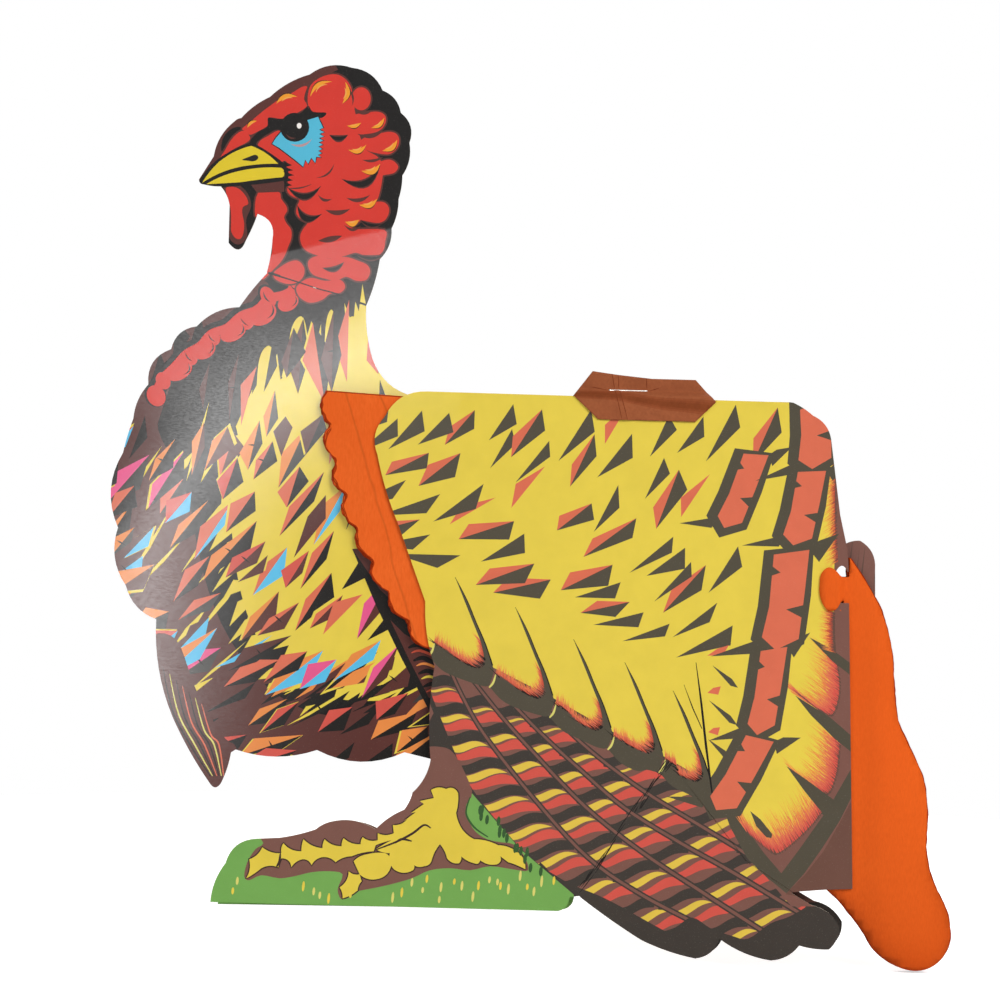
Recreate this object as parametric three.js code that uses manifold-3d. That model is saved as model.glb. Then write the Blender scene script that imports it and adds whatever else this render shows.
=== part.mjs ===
// A folding turkey table decoration: die-cut printed cards with honeycomb tissue between them.
// It is drawn in millimetres as seen from its near side (x right, y up, z towards the viewer)
// and then stood up, so that z is up and the near side faces -y. It is shown folded flat.
import * as THREE from 'three';
import { mergeVertices } from 'three/addons/utils/BufferGeometryUtils.js';
import Module from 'manifold-3d';

const wasm = await Module();
wasm.setup();

// Sheet thicknesses, and the gap left between sheets that lie on each other
const cardThickness = 0.6;
const tissueThickness = 0.3;
const coverThickness = 0.3;
const hingePaperThickness = 0.2;
const sheetGap = 0.3;
const leavesPerSide = 3;

// The ridge: both wings swing about the stapled line of their paper hinges
const ridgeHeight = 183.5;
const hingeSplit = 1.1;         // how far below the ridge the hinge paper's fixed half ends
const stapleCrown = 12.7;
const stapleClinch = 3;
const stapleWire = 0.5;
const stapleX = 28.5;

// The back wing hangs a little crooked, so it peeps out under the base and beside the tips
const farWingSkew = THREE.MathUtils.degToRad(0.6);
const skewPivot = new THREE.Vector2(50, 181);

// Scallops where the edge of the body's honeycomb shows in front of the wing
const scallopCount = 8;
const scallopBow = 2.5;

// Outlines: each row is a corner, with how far the edge up to it bows outwards
const headRows = [
  [-110.5, 247.5], [-106, 255], [-99.5, 266.5, 1.3], [-97.5, 267.5, 0.2], [-88.5, 274.5, 0.6],
  [-76, 282, 0.9], [-62.5, 284.5, 1.8], [-52.5, 277.5, 1.8], [-46.5, 270.5, 1.3],
  [-43.5, 261, 1.8], [-45.5, 250.5, 1.1], [-46.5, 243, 0.3], [-48.5, 233.5, 0.6],
  [-52, 223.5, 1.2], [-56, 208.5, 0.5], [-88, 218.5], [-86.5, 229, -0.3], [-91.5, 237, -2.1],
  [-95, 228.5, 0.2], [-100.5, 227.5, 2.6], [-100.5, 239.5], [-103.5, 245.5, -0.5],
  [-109, 246, 0.2], [-110.5, 247.5, 0.5],
];
const breastRows = [
  [-88, 218], [-96.5, 207, 0.3], [-110, 200.5, 1.6], [-118, 193, 1.9], [-125, 181.5, 2.6],
  [-129.5, 170.5, 1], [-132.5, 159.5, 0.2], [-133.5, 135.5, 3.1], [-130.5, 117, 2.3],
  [-120.5, 106.5, 1.9], [-114.5, 75.5, 1.8], [-102, 54.5, 0.6], [-98.5, 54.5, 1.3],
  [-95.5, 64.5, 0.4], [-94, 65.5], [-68, 66, 2.2], [-40, 66, 3.4], [-31, 64],
  // the keel behind the wings, the tail stub and the tab held in the staple
  [9.5, 77.5], [60.5, 96.5], [101.5, 102.5], [109.5, 111.5, 1.9], [109, 128.5], [104, 137.5, 1.6],
  [99.5, 136.5, 0.3], [84, 166], [69.5, 175.5], [52.5, 178], [51, 186.5], [17.5, 187],
  [16, 179], [-34.5, 177.5], [-40.5, 180],
  // the back of the neck
  [-53.5, 191.5, -2.2], [-56, 208, -0.7],
];
const wingRows = [
  [-35.5, 181.5], [81, 181], [87.5, 177, 0.3], [93.5, 169.5, 1.3], [97, 145.5], [99.5, 135],
  [100, 130.5], [101, 105.5], [104, 26.5], [95, 26], [85, 25],
  // the slit and the crease of the feather tips, then the base, the foot and the leg
  [70, 34.5], [57.5, 50], [45, 65], [17, 22], [14, 21.5], [13.5, 19.5], [10, 17, 0.6],
  [-100.5, 17], [-96, 29.5, 1], [-86.5, 37.5, 2.2], [-79, 38], [-67.5, 41, -0.3],
  [-63, 43.5, 0.3], [-48.5, 41.5, 1.6], [-39.5, 48, 0.6], [-37, 53.5, -0.3], [-31.5, 64, -1],
  // the front edge up to the shoulder
  [-31, 94, 1], [-34.5, 114.5, 1], [-44, 139.5], [-51, 161, 0.6], [-49, 173, 1.9],
  [-35.5, 181.5, 2.6],
];
const tipRows = [
  [45, 64.3], [17.3, 21.6], [37, 8.5, 0.3], [54.5, 3, 0.6], [62, 9.5, 1.6], [78.5, 3, 1.1],
  [87.5, 8, 1.2], [97, 7, 0.4], [100, 14.5, 1], [91, 21, 1.3], [84.8, 24.6], [69.7, 34.2],
  [57.2, 49.7],
];
const tailRows = [
  [100.5, 132], [109.5, 118.5, 0.3], [115.5, 93.5, 1.6], [118, 77.5, -0.5], [126, 62.5, 0.2],
  [127, 40.5, 0.9], [132, 25, -1.1], [136, 13, 0.8], [125, 0, 3.5], [111.5, 7, 1.4],
  [99.5, 23.5, -0.6], [94, 27.5], [87.5, 38], [86, 99], [97, 114], [99, 117], [99, 125],
  [100.5, 126],
];
const tabRows = [
  [98.5, 125.8], [97.5, 126], [93.5, 129, 0.6], [91, 123.5, 1], [93.5, 115, 1], [97.5, 117.5, 1.3],
  [98.5, 118.2],
];
const hingeRows = [
  [11, 181.5], [17, 189.5], [25, 188.5], [36, 187.5], [50, 187.5], [56.5, 180.5], [50, 174],
  [19, 174],
];
const bodyTissueEdge = new THREE.QuadraticBezierCurve(
  new THREE.Vector2(-67.5, 181), new THREE.Vector2(-64, 136.5), new THREE.Vector2(-32.5, 99.5),
);
const bodyTissueBack = [
  [-16.5, 90], [15.5, 87.5, 1.5], [47.5, 98, 1.5], [66, 121, 2], [70, 149.5, 2], [64.5, 173.5, 1.5],
  [53.5, 178.5], [-38, 179.5],
];

// The notch in a wing's rear edge, round at its top, and the neck of the tail cover in it
const notchRows = [[96.1, 117.5], [96.1, 127.5], [99.9, 127.5, 1.9], [106, 127.5], [106, 117.5]];
const neckRows = [[96.8, 118.2], [96.8, 125.8], [101, 125.8], [101, 118.2]];
// The centre card is open behind both notches
const windowRows = [[95.6, 116], [95.6, 130], [100.3, 130], [100.3, 116]];

const bowSteps = 8;

// How far each sheet lies from the middle plane: [inner face, outer face]
const centreHalf = cardThickness / 2;
const leafLayers = [];
let reached = centreHalf;
for (let leaf = 0; leaf < leavesPerSide; leaf += 1) {
  leafLayers.push([reached + sheetGap, reached + sheetGap + tissueThickness]);
  reached += sheetGap + tissueThickness;
}
const coverLayer = [reached + sheetGap, reached + sheetGap + coverThickness];
const wingLayer = [coverLayer[1] + sheetGap, coverLayer[1] + sheetGap + cardThickness];
const tabLayer = [wingLayer[1] + sheetGap, wingLayer[1] + sheetGap + coverThickness];
const flapLayer = [wingLayer[1] + sheetGap, wingLayer[1] + sheetGap + hingePaperThickness];
const hingeTopLayer = [centreHalf + sheetGap, centreHalf + sheetGap + hingePaperThickness];

const material = (color, roughness, metalness = 0) => (
  new THREE.MeshStandardMaterial({ color, roughness, metalness })
);
const finishes = {
  breast: material(0xd8c05a, 0.45),
  head: material(0xd83a2c, 0.45),
  wing: material(0xe2c846, 0.5),
  tip: material(0x5a4a40, 0.5),
  tissue: material(0xe86426, 0.85),
  cover: material(0xe9611d, 0.7),
  hinge: material(0x96522f, 0.8),
  staple: material(0xb8b8b4, 0.35, 1),
};

// A closed outline with bowed edges; a positive bow swells outwards whichever way it runs
function outline(rows) {
  const corners = rows.map(([x, y]) => new THREE.Vector2(x, y));
  const outward = THREE.ShapeUtils.isClockWise(corners) ? 1 : -1;
  const shape = new THREE.Shape();
  shape.moveTo(corners[0].x, corners[0].y);
  for (let i = 1; i < rows.length; i += 1) {
    const from = corners[i - 1];
    const to = corners[i];
    const bow = rows[i][2];
    if (bow) {
      const along = to.clone().sub(from).normalize();
      const pull = new THREE.Vector2(-along.y, along.x).multiplyScalar(2 * bow * outward);
      const control = from.clone().add(to).multiplyScalar(0.5).add(pull);
      shape.quadraticCurveTo(control.x, control.y, to.x, to.y);
    } else {
      shape.lineTo(to.x, to.y);
    }
  }
  return shape;
}

// A flat sheet of that outline; side is 1 for the near half of the bird and -1 for the far half
function sheet(shape, [inner, outer], side) {
  const geometry = new THREE.ExtrudeGeometry(shape, {
    depth: outer - inner, bevelEnabled: false, curveSegments: bowSteps,
  });
  return geometry.translate(0, 0, side > 0 ? inner : -outer);
}

function solidOf(geometry) {
  const bare = geometry.clone();
  bare.deleteAttribute('normal');
  bare.deleteAttribute('uv');
  const merged = mergeVertices(bare, 1e-4);
  return new wasm.Manifold(new wasm.Mesh({
    numProp: 3,
    vertProperties: new Float32Array(merged.getAttribute('position').array),
    triVerts: new Uint32Array(merged.getIndex().array),
  }));
}

function geometryOf(solid) {
  const mesh = solid.getMesh();
  const geometry = new THREE.BufferGeometry();
  geometry.setAttribute('position', new THREE.BufferAttribute(new Float32Array(mesh.vertProperties), 3));
  geometry.setIndex(new THREE.BufferAttribute(new Uint32Array(mesh.triVerts), 1));
  geometry.computeVertexNormals();
  return geometry;
}

// Turns a sheet about the skew pivot, as the crooked far wing is
function skewed(geometry) {
  return geometry
    .translate(-skewPivot.x, -skewPivot.y, 0)
    .rotateZ(farWingSkew)
    .translate(skewPivot.x, skewPivot.y, 0);
}

// Pierces a sheet for the staple's two legs
function pierced(solid) {
  const half = stapleWire / 2 + sheetGap;
  const through = tabLayer[1];
  let rest = solid;
  for (const end of [-1, 1]) {
    const x = stapleX + end * (stapleCrown - stapleWire) / 2;
    const slot = outline([
      [x - half, ridgeHeight - half], [x + half, ridgeHeight - half],
      [x + half, ridgeHeight + half], [x - half, ridgeHeight + half],
    ]);
    rest = rest.subtract(solidOf(sheet(slot, [-through, through], 1)));
  }
  return rest;
}

// A strip of hinge paper: its profile across the ridge, run along x and cut to the paper's outline
function hingeStrip(profile, side) {
  const shape = outline(profile.map(([out, up]) => [side * out, ridgeHeight + up]));
  const reach = 60;
  const strip = new THREE.ExtrudeGeometry(shape, { depth: reach, bevelEnabled: false })
    .rotateY(-Math.PI / 2)
    .translate(reach, 0, 0);
  const paper = sheet(outline(hingeRows), [-tabLayer[1], tabLayer[1]], 1);
  return solidOf(strip).intersect(solidOf(paper));
}

function hingeTop(side) {
  const above = 8;
  const [inner, outer] = hingeTopLayer;
  return geometryOf(pierced(hingeStrip([
    [inner, -hingeSplit], [outer, -hingeSplit], [outer, above], [inner, above],
  ], side)));
}

// The swinging half passes over the wing's top edge and lies down its outer face
function hingeFlap(side) {
  const top = -hingeSplit - sheetGap;
  const under = top - hingePaperThickness;
  const below = -12;
  return geometryOf(hingeStrip([
    [hingeTopLayer[0], top], [hingeTopLayer[0], under], [flapLayer[0], under], [flapLayer[0], below],
    [flapLayer[1], below], [flapLayer[1], top],
  ], side));
}

function staple() {
  const half = stapleCrown / 2;
  const front = hingeTopLayer[1] + sheetGap;
  const inside = half - stapleWire;
  const shape = outline([
    [-half, front + stapleWire], [half, front + stapleWire], [half, -front - stapleWire],
    [half - stapleClinch, -front - stapleWire], [half - stapleClinch, -front], [inside, -front],
    [inside, front], [-inside, front], [-inside, -front], [stapleClinch - half, -front],
    [stapleClinch - half, -front - stapleWire], [-half, -front - stapleWire],
  ]);
  return new THREE.ExtrudeGeometry(shape, { depth: stapleWire, bevelEnabled: false })
    .rotateX(Math.PI / 2)
    .translate(stapleX, ridgeHeight + stapleWire / 2, 0);
}

function centreCard() {
  const shape = outline(breastRows);
  shape.holes.push(outline(windowRows));
  return geometryOf(pierced(solidOf(sheet(shape, [-centreHalf, centreHalf], 1))));
}

function wingCard(side) {
  const card = sheet(outline(wingRows), wingLayer, side);
  const notch = sheet(outline(notchRows), [coverLayer[0], tabLayer[1]], side);
  return geometryOf(solidOf(side > 0 ? card : skewed(card)).subtract(solidOf(notch)));
}

function wingTip(side) {
  const tip = sheet(outline(tipRows), wingLayer, side);
  return side > 0 ? tip : skewed(tip);
}

// The tail's cover paper, with a T-shaped tab that hooks through the wing's notch
function tailCover(side) {
  const cover = solidOf(sheet(outline(tailRows), coverLayer, side));
  const neck = solidOf(sheet(outline(neckRows), [coverLayer[0], tabLayer[1]], side));
  const tab = solidOf(sheet(outline(tabRows), tabLayer, side));
  return geometryOf(cover.add(neck).add(tab));
}

function bodyTissue(layer, side) {
  const valleys = bodyTissueEdge.getSpacedPoints(scallopCount);
  const front = valleys.map(({ x, y }, i) => (i ? [x, y, scallopBow] : [x, y]));
  return sheet(outline([...front, ...bodyTissueBack]), layer, side);
}

function tailTissue(layer, side) {
  return sheet(outline(tailRows), layer, side);
}

const bird = new THREE.Group();

function addPiece(name, geometry, finish) {
  const mesh = new THREE.Mesh(geometry, finish);
  mesh.name = name;
  bird.add(mesh);
}

addPiece('breast_card', centreCard(), finishes.breast);
addPiece('head_card', sheet(outline(headRows), [-centreHalf, centreHalf], 1), finishes.head);
addPiece('hinge_staple', staple(), finishes.staple);
for (const [half, side] of [['near', 1], ['far', -1]]) {
  addPiece(`${half}_hinge_top`, hingeTop(side), finishes.hinge);
  addPiece(`${half}_hinge_flap`, hingeFlap(side), finishes.hinge);
  addPiece(`${half}_wing_card`, wingCard(side), finishes.wing);
  addPiece(`${half}_wing_tip`, wingTip(side), finishes.tip);
  addPiece(`${half}_tail_cover`, tailCover(side), finishes.cover);
  leafLayers.forEach((layer, leaf) => {
    addPiece(`${half}_body_tissue_${leaf + 1}`, bodyTissue(layer, side), finishes.tissue);
    addPiece(`${half}_tail_tissue_${leaf + 1}`, tailTissue(layer, side), finishes.tissue);
  });
}

// Stand the drawing up, with the origin under the middle of the bird
bird.rotation.x = Math.PI / 2;
const box = new THREE.Box3().setFromObject(bird, true);
bird.position.set(-(box.min.x + box.max.x) / 2, -(box.min.y + box.max.y) / 2, -box.min.z);

const turkey = new THREE.Group();
turkey.add(bird);

export default turkey;
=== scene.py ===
import math
import random

import bpy
import bmesh
import numpy as np
from mathutils import Matrix, Vector, noise
from mathutils.geometry import delaunay_2d_cdt


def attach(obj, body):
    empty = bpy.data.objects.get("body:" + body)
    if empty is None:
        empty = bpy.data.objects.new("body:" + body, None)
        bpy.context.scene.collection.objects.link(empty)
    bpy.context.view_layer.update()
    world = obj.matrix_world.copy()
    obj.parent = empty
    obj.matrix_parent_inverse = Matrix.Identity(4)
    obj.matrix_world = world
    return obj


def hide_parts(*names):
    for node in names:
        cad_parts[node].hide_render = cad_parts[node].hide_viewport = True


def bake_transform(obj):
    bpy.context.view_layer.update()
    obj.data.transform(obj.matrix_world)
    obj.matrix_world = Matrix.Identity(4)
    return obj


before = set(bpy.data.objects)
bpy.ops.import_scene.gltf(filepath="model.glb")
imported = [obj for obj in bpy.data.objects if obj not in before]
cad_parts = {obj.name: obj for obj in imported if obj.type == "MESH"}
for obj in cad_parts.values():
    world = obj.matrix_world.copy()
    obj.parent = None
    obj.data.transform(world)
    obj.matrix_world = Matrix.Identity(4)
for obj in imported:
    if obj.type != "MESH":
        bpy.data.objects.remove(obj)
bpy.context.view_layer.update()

mm = 0.001
halves = (("near", -1), ("far", 1))   # name of a side, and which way its outer face looks along y


def linear(hexColour):
    parts = [int(hexColour[i:i + 2], 16) / 255 for i in (1, 3, 5)]
    return tuple(c / 12.92 if c <= 0.04045 else ((c + 0.055) / 1.055) ** 2.4 for c in parts) + (1,)


def addNode(tree, kind, values=None, links=None, **settings):
    node = tree.nodes.new(kind)
    for name, value in settings.items():
        setattr(node, name, value)
    for socket, value in (values or {}).items():
        node.inputs[socket].default_value = value
    for socket, source in (links or {}).items():
        tree.links.new(source, node.inputs[socket])
    return node


def emptyMaterial(name):
    material = bpy.data.materials.new(name)
    material.use_nodes = True
    tree = material.node_tree
    tree.nodes.clear()
    return material, tree


def perMm(size):
    return 1000 / size   # texture scale for a feature of that many millimetres


def meshOf(name, bm, *materials):
    mesh = bpy.data.meshes.new(name)
    bm.to_mesh(mesh)
    bm.free()
    for material in materials:
        mesh.materials.append(material)
    return mesh


def addObject(name, data):
    thing = bpy.data.objects.new(name, data)
    bpy.context.scene.collection.objects.link(thing)
    return thing


# Offset litho ink on coated board: flat spot colours, a little uneven in density, with pin holes where
# the ink missed the tooth of the board, under a thin varnish whose gloss the linen finish breaks up.
def lithoInk(name, toothHeight, varnish):
    look = {"density": 7, "pinHole": 0.35, "tooth": 0.5, "linen": 0.24, "bare": "#E8DFCB"}
    material, tree = emptyMaterial(name)
    place = addNode(tree, "ShaderNodeTexCoord").outputs["Object"]
    colour = addNode(tree, "ShaderNodeAttribute", attribute_name="ink").outputs["Color"]
    cloud = addNode(tree, "ShaderNodeTexNoise", {"Scale": perMm(look["density"]), "Detail": 3},
                    {"Vector": place})
    uneven = addNode(tree, "ShaderNodeMapRange",
                     {"From Min": 0.3, "From Max": 0.7, "To Min": 0.965, "To Max": 1.025},
                     {"Value": cloud.outputs["Fac"]})
    dense = addNode(tree, "ShaderNodeVectorMath", None, {0: colour, 1: uneven.outputs[0]},
                    operation="MULTIPLY")
    holes = addNode(tree, "ShaderNodeTexNoise",
                    {"Scale": perMm(look["pinHole"]), "Detail": 1, "Roughness": 0.3}, {"Vector": place})
    missed = addNode(tree, "ShaderNodeMapRange", {"From Min": 0.66, "From Max": 0.8, "To Max": 0.05},
                     {"Value": holes.outputs["Fac"]})
    printed = addNode(tree, "ShaderNodeMix", {"B": linear(look["bare"])},
                      {"Factor": missed.outputs[0], "A": dense.outputs[0]}, data_type="RGBA")
    stretch = addNode(tree, "ShaderNodeMapping", {"Scale": (0.2, 1, 1)}, {"Vector": place})
    linen = addNode(tree, "ShaderNodeTexNoise", {"Scale": perMm(look["linen"]), "Detail": 2},
                    {"Vector": stretch.outputs[0]})
    tooth = addNode(tree, "ShaderNodeTexNoise", {"Scale": perMm(look["tooth"]), "Detail": 2},
                    {"Vector": place})
    height = addNode(tree, "ShaderNodeMath", None, {0: linen.outputs["Fac"], 1: tooth.outputs["Fac"]},
                     operation="ADD")
    bump = addNode(tree, "ShaderNodeBump", {"Strength": 1, "Distance": toothHeight * mm},
                   {"Height": height.outputs[0]})
    gloss = addNode(tree, "ShaderNodeMapRange",
                    {"From Min": 0.32, "From Max": 0.66, "To Min": 0.5 * varnish, "To Max": varnish},
                    {"Value": linen.outputs["Fac"]})
    shader = addNode(tree, "ShaderNodeBsdfPrincipled",
                     {"Roughness": 0.5, "IOR": 1.5, "Specular IOR Level": 0.06,
                      "Coat Roughness": 0.02, "Coat IOR": 1.5},
                     {"Base Color": printed.outputs["Result"], "Normal": bump.outputs[0],
                      "Coat Weight": gloss.outputs[0]})
    addNode(tree, "ShaderNodeOutputMaterial", None, {"Surface": shader.outputs[0]})
    return material


# Solid greyboard as cut by a die: a pale grey-buff core with darker and lighter fibre specks, dull.
def solidBoard():
    look = {"fibre": 0.8, "shade": 12, "relief": 0.03, "stops": (0.12, 0.42),
            "tones": ("#A89C88", "#D9D0BE")}
    material, tree = emptyMaterial("solid greyboard, die cut")
    place = addNode(tree, "ShaderNodeTexCoord").outputs["Object"]
    fibre = addNode(tree, "ShaderNodeTexNoise", {"Scale": perMm(look["fibre"]), "Detail": 4},
                    {"Vector": place})
    shade = addNode(tree, "ShaderNodeTexNoise", {"Scale": perMm(look["shade"]), "Detail": 2},
                    {"Vector": place})
    mixed = addNode(tree, "ShaderNodeMath", None, {0: fibre.outputs["Fac"], 1: shade.outputs["Fac"]},
                    operation="MULTIPLY")
    ramp = addNode(tree, "ShaderNodeValToRGB", None, {"Fac": mixed.outputs[0]})
    for stop, position, code in zip(ramp.color_ramp.elements, look["stops"], look["tones"]):
        stop.position = position
        stop.color = linear(code)
    bump = addNode(tree, "ShaderNodeBump", {"Strength": 1, "Distance": look["relief"] * mm},
                   {"Height": fibre.outputs["Fac"]})
    shader = addNode(tree, "ShaderNodeBsdfPrincipled",
                     {"Roughness": 0.85, "IOR": 1.45, "Specular IOR Level": 0.12},
                     {"Base Color": ramp.outputs["Color"], "Normal": bump.outputs[0]})
    addNode(tree, "ShaderNodeOutputMaterial", None, {"Surface": shader.outputs[0]})
    return material


# Dyed paper: matt, evenly coloured pulp with soft cloudy fading and short fibres, times painted shade
# from the ink attribute. Lines of glue show through tissue as faint darker stripes.
def dyedPaper(name, pale, deep, fibreMm, cloudMm, height, rough, glueMm=None, grain=0.25):
    look = {"stops": (0.42, 0.78), "glueLean": math.radians(18), "glueDrift": 6, "glueWide": 0.55}
    material, tree = emptyMaterial(name)
    place = addNode(tree, "ShaderNodeTexCoord").outputs["Object"]
    # painted shade, carried per corner in the ink attribute
    paintedShade = addNode(tree, "ShaderNodeAttribute", attribute_name="ink").outputs["Color"]
    cloud = addNode(tree, "ShaderNodeTexNoise", {"Scale": perMm(cloudMm), "Detail": 3}, {"Vector": place})
    run = addNode(tree, "ShaderNodeMapping", {"Scale": (1, 1, grain)}, {"Vector": place})
    fibre = addNode(tree, "ShaderNodeTexNoise", {"Scale": perMm(fibreMm), "Detail": 3},
                    {"Vector": run.outputs[0]})
    both = addNode(tree, "ShaderNodeMath", {2: 0.35}, {0: fibre.outputs["Fac"], 1: cloud.outputs["Fac"]},
                   operation="MULTIPLY_ADD")
    ramp = addNode(tree, "ShaderNodeValToRGB", None, {"Fac": both.outputs[0]})
    for stop, position, code in zip(ramp.color_ramp.elements, look["stops"], (deep, pale)):
        stop.position = position
        stop.color = linear(code)
    colour = addNode(tree, "ShaderNodeVectorMath", None, {0: ramp.outputs["Color"], 1: paintedShade},
                     operation="MULTIPLY")
    if glueMm:
        lean = addNode(tree, "ShaderNodeMapping", {"Rotation": (0, look["glueLean"], 0)}, {"Vector": place})
        across = addNode(tree, "ShaderNodeSeparateXYZ", None, {0: lean.outputs[0]})
        drift = addNode(tree, "ShaderNodeMath", {1: look["glueDrift"] * mm},
                        {0: cloud.outputs["Fac"], 2: across.outputs["X"]}, operation="MULTIPLY_ADD")
        line = addNode(tree, "ShaderNodeMath", {1: glueMm / 2 * mm}, {0: drift.outputs[0]},
                       operation="PINGPONG")
        faint = addNode(tree, "ShaderNodeMapRange",
                        {"From Max": look["glueWide"] * mm, "To Min": 0.8, "To Max": 1},
                        {"Value": line.outputs[0]})
        colour = addNode(tree, "ShaderNodeVectorMath", None, {0: colour.outputs[0], 1: faint.outputs[0]},
                         operation="MULTIPLY")
    bump = addNode(tree, "ShaderNodeBump", {"Strength": 1, "Distance": height * mm},
                   {"Height": fibre.outputs["Fac"]})
    shader = addNode(tree, "ShaderNodeBsdfPrincipled", {"Roughness": rough, "Specular IOR Level": 0.05},
                     {"Base Color": colour.outputs[0], "Normal": bump.outputs[0]})
    addNode(tree, "ShaderNodeOutputMaterial", None, {"Surface": shader.outputs[0]})
    return material


# Galvanised steel wire, drawn: bright grey with fine lengthwise streaks.
def galvanisedWire():
    material, tree = emptyMaterial("galvanised steel wire, drawn")
    place = addNode(tree, "ShaderNodeTexCoord").outputs["Object"]
    streak = addNode(tree, "ShaderNodeMapping", {"Scale": (0.08, 1, 1)}, {"Vector": place})
    drawn = addNode(tree, "ShaderNodeTexNoise", {"Scale": perMm(0.12), "Detail": 2},
                    {"Vector": streak.outputs[0]})
    rough = addNode(tree, "ShaderNodeMapRange", {"To Min": 0.22, "To Max": 0.42},
                    {"Value": drawn.outputs["Fac"]})
    shader = addNode(tree, "ShaderNodeBsdfPrincipled", {"Base Color": linear("#D9D7D2"), "Metallic": 1},
                     {"Roughness": rough.outputs[0]})
    addNode(tree, "ShaderNodeOutputMaterial", None, {"Surface": shader.outputs[0]})
    return material


breastInk = lithoInk("litho ink on linen-faced board, varnished", toothHeight=0.012, varnish=0.3)
wingInk = lithoInk("litho ink on smooth board", toothHeight=0.008, varnish=0.075)
board = solidBoard()
tissuePaper = dyedPaper("dyed honeycomb tissue", pale="#EC6928", deep="#DF5B1D", fibreMm=0.5, cloudMm=30,
                        height=0.02, rough=0.8, glueMm=11)
coverPaper = dyedPaper("dyed cover paper", pale="#E8621D", deep="#DB5718", fibreMm=0.4, cloudMm=60,
                       height=0.01, rough=0.7)
gummedPaper = dyedPaper("gummed brown paper", pale="#A05A38", deep="#8E4E30", fibreMm=0.9, cloudMm=9,
                        height=0.03, rough=0.75, grain=0.8)
wire = galvanisedWire()
print("materials:", len(bpy.data.materials))

# The prints are drawn on a layout sheet: units of 0.32 mm, right and down, the sheet turned 1.5 degrees
sheet = {"unit": 0.32, "turn": math.radians(1.5), "middle": (530, 520), "shift": (-5.2, 441.9)}
inks = {
    "black": "#141110", "maroon": "#58302B", "red": "#D4372C", "flame": "#EBA84E", "beak": "#DEC42B",
    "sky": "#53B7D4", "glint": "#F2ECE6", "blush": "#B99294", "yellow": "#E3CA4A", "olive": "#504A3D",
    "salmon": "#D86C50", "brown": "#7A5349", "umber": "#62483F", "bar": "#D05448", "soot": "#3E3833",
    "grass": "#72A552", "leaf": "#35562F", "straw": "#D8D070", "foot": "#E0C646", "cyan": "#57BCE4",
    "pink": "#E4588B", "orange": "#E58A45", "slate": "#3C3A37", "coal": "#1B1816", "rust": "#C2503A",
    "crack": "#3A2A26", "bark": "#6A493E", "bare": "#D9D0BE", "plain": "#FFFFFF", "hingeShade": "#C7AC9C",
    "amber": "#EE9A2C", "tissueEdgeShade": "#B98C74", "foldShadeFaint": "#EFE4DB", "dusk": "#E2D2C4", "dusky": "#D5C4B0",
    "corn": "#DFBF49",
}
inkColours = {name: linear(code) for name, code in inks.items()}


def onCard(point):
    u = point[0] - sheet["middle"][0]
    v = sheet["middle"][1] - point[1]
    c, s = math.cos(sheet["turn"]), math.sin(sheet["turn"])
    right, up = u * c - v * s + sheet["shift"][0], u * s + v * c + sheet["shift"][1]
    return right * sheet["unit"], up * sheet["unit"]


# Drawing helpers, all in layout units
def bent(a, pull, b, steps):
    # a curve from a up to b that is drawn towards a third point
    return [tuple(a * (1 - t) ** 2 + pull * 2 * t * (1 - t) + b * t * t)
            for t in (i / steps for i in range(steps))]


def arc(a, b, bow, steps=7):
    # a bow is how far an edge swells to its right as it runs
    a, b = Vector(a), Vector(b)
    along = b - a
    if abs(bow) < 0.05 or along.length < 0.5:
        return [tuple(a)]
    return bent(a, (a + b) / 2 + Vector((-along.y, along.x)).normalized() * 2 * bow, b, steps)


def bowed(rows):
    points = []
    for i, row in enumerate(rows):
        before = rows[i - 1]
        points += arc(before[:2], row[:2], row[2] if len(row) > 2 else 0)
    return points


def crescent(a, b, out, back):
    return arc(a, b, out, 9) + arc(b, a, -back, 9)


def smoothRun(runs, steps):
    # smooth stretches, each between the middle two of four points
    made = []
    for p0, p1, p2, p3 in runs:
        for t in (j / steps for j in range(steps)):
            made.append(tuple(0.5 * (2 * p1 + (p2 - p0) * t + (2 * p0 - 5 * p1 + 4 * p2 - p3) * t * t
                                     + (3 * p1 - p0 - 3 * p2 + p3) * t ** 3)))
    return made


def rounded(points, steps=5):
    ring = [Vector(p) for p in points]
    return smoothRun(zip(ring[-1:] + ring[:-1], ring, ring[1:] + ring[:1], ring[2:] + ring[:2]), steps)


def swept(points, steps=6):
    run = [Vector(p) for p in (points[0], *points, points[-1])]
    return smoothRun(zip(run, run[1:], run[2:], run[3:]), steps) + [tuple(run[-1])]


def turned(shape, x, y, turn):
    # a shape drawn about its own middle, turned and put in its place
    c, s = math.cos(turn), math.sin(turn)
    return [(x + a * c - b * s, y + a * s + b * c) for a, b in shape]


def disc(x, y, across, down=None, tilt=0, steps=24):
    turns = [math.tau * i / steps for i in range(steps)]
    return turned([(across * math.cos(t), (down or across) * math.sin(t)) for t in turns], x, y, tilt)


def stroke(points, start, end, middle=None):
    points = [Vector(p) for p in points]
    left, right = [], []
    for i, p in enumerate(points):
        along = (points[min(i + 1, len(points) - 1)] - points[max(i - 1, 0)]).normalized()
        t = i / (len(points) - 1)
        wide = start + (end - start) * t
        if middle is not None:
            wide += (middle - (start + end) / 2) * 4 * t * (1 - t)
        aside = Vector((-along.y, along.x)) * max(wide, 0.05) / 2
        left.append(tuple(p + aside))
        right.append(tuple(p - aside))
    return left + right[::-1]


def kite(x, y, heading, long, wide, belly=0.15, other=0.12):
    shape = [(-long / 2, 0), (long * belly, wide), (long / 2, 0), (long * (belly - 0.1), -wide * other)]
    return turned(shape, x, y, -heading)


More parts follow.
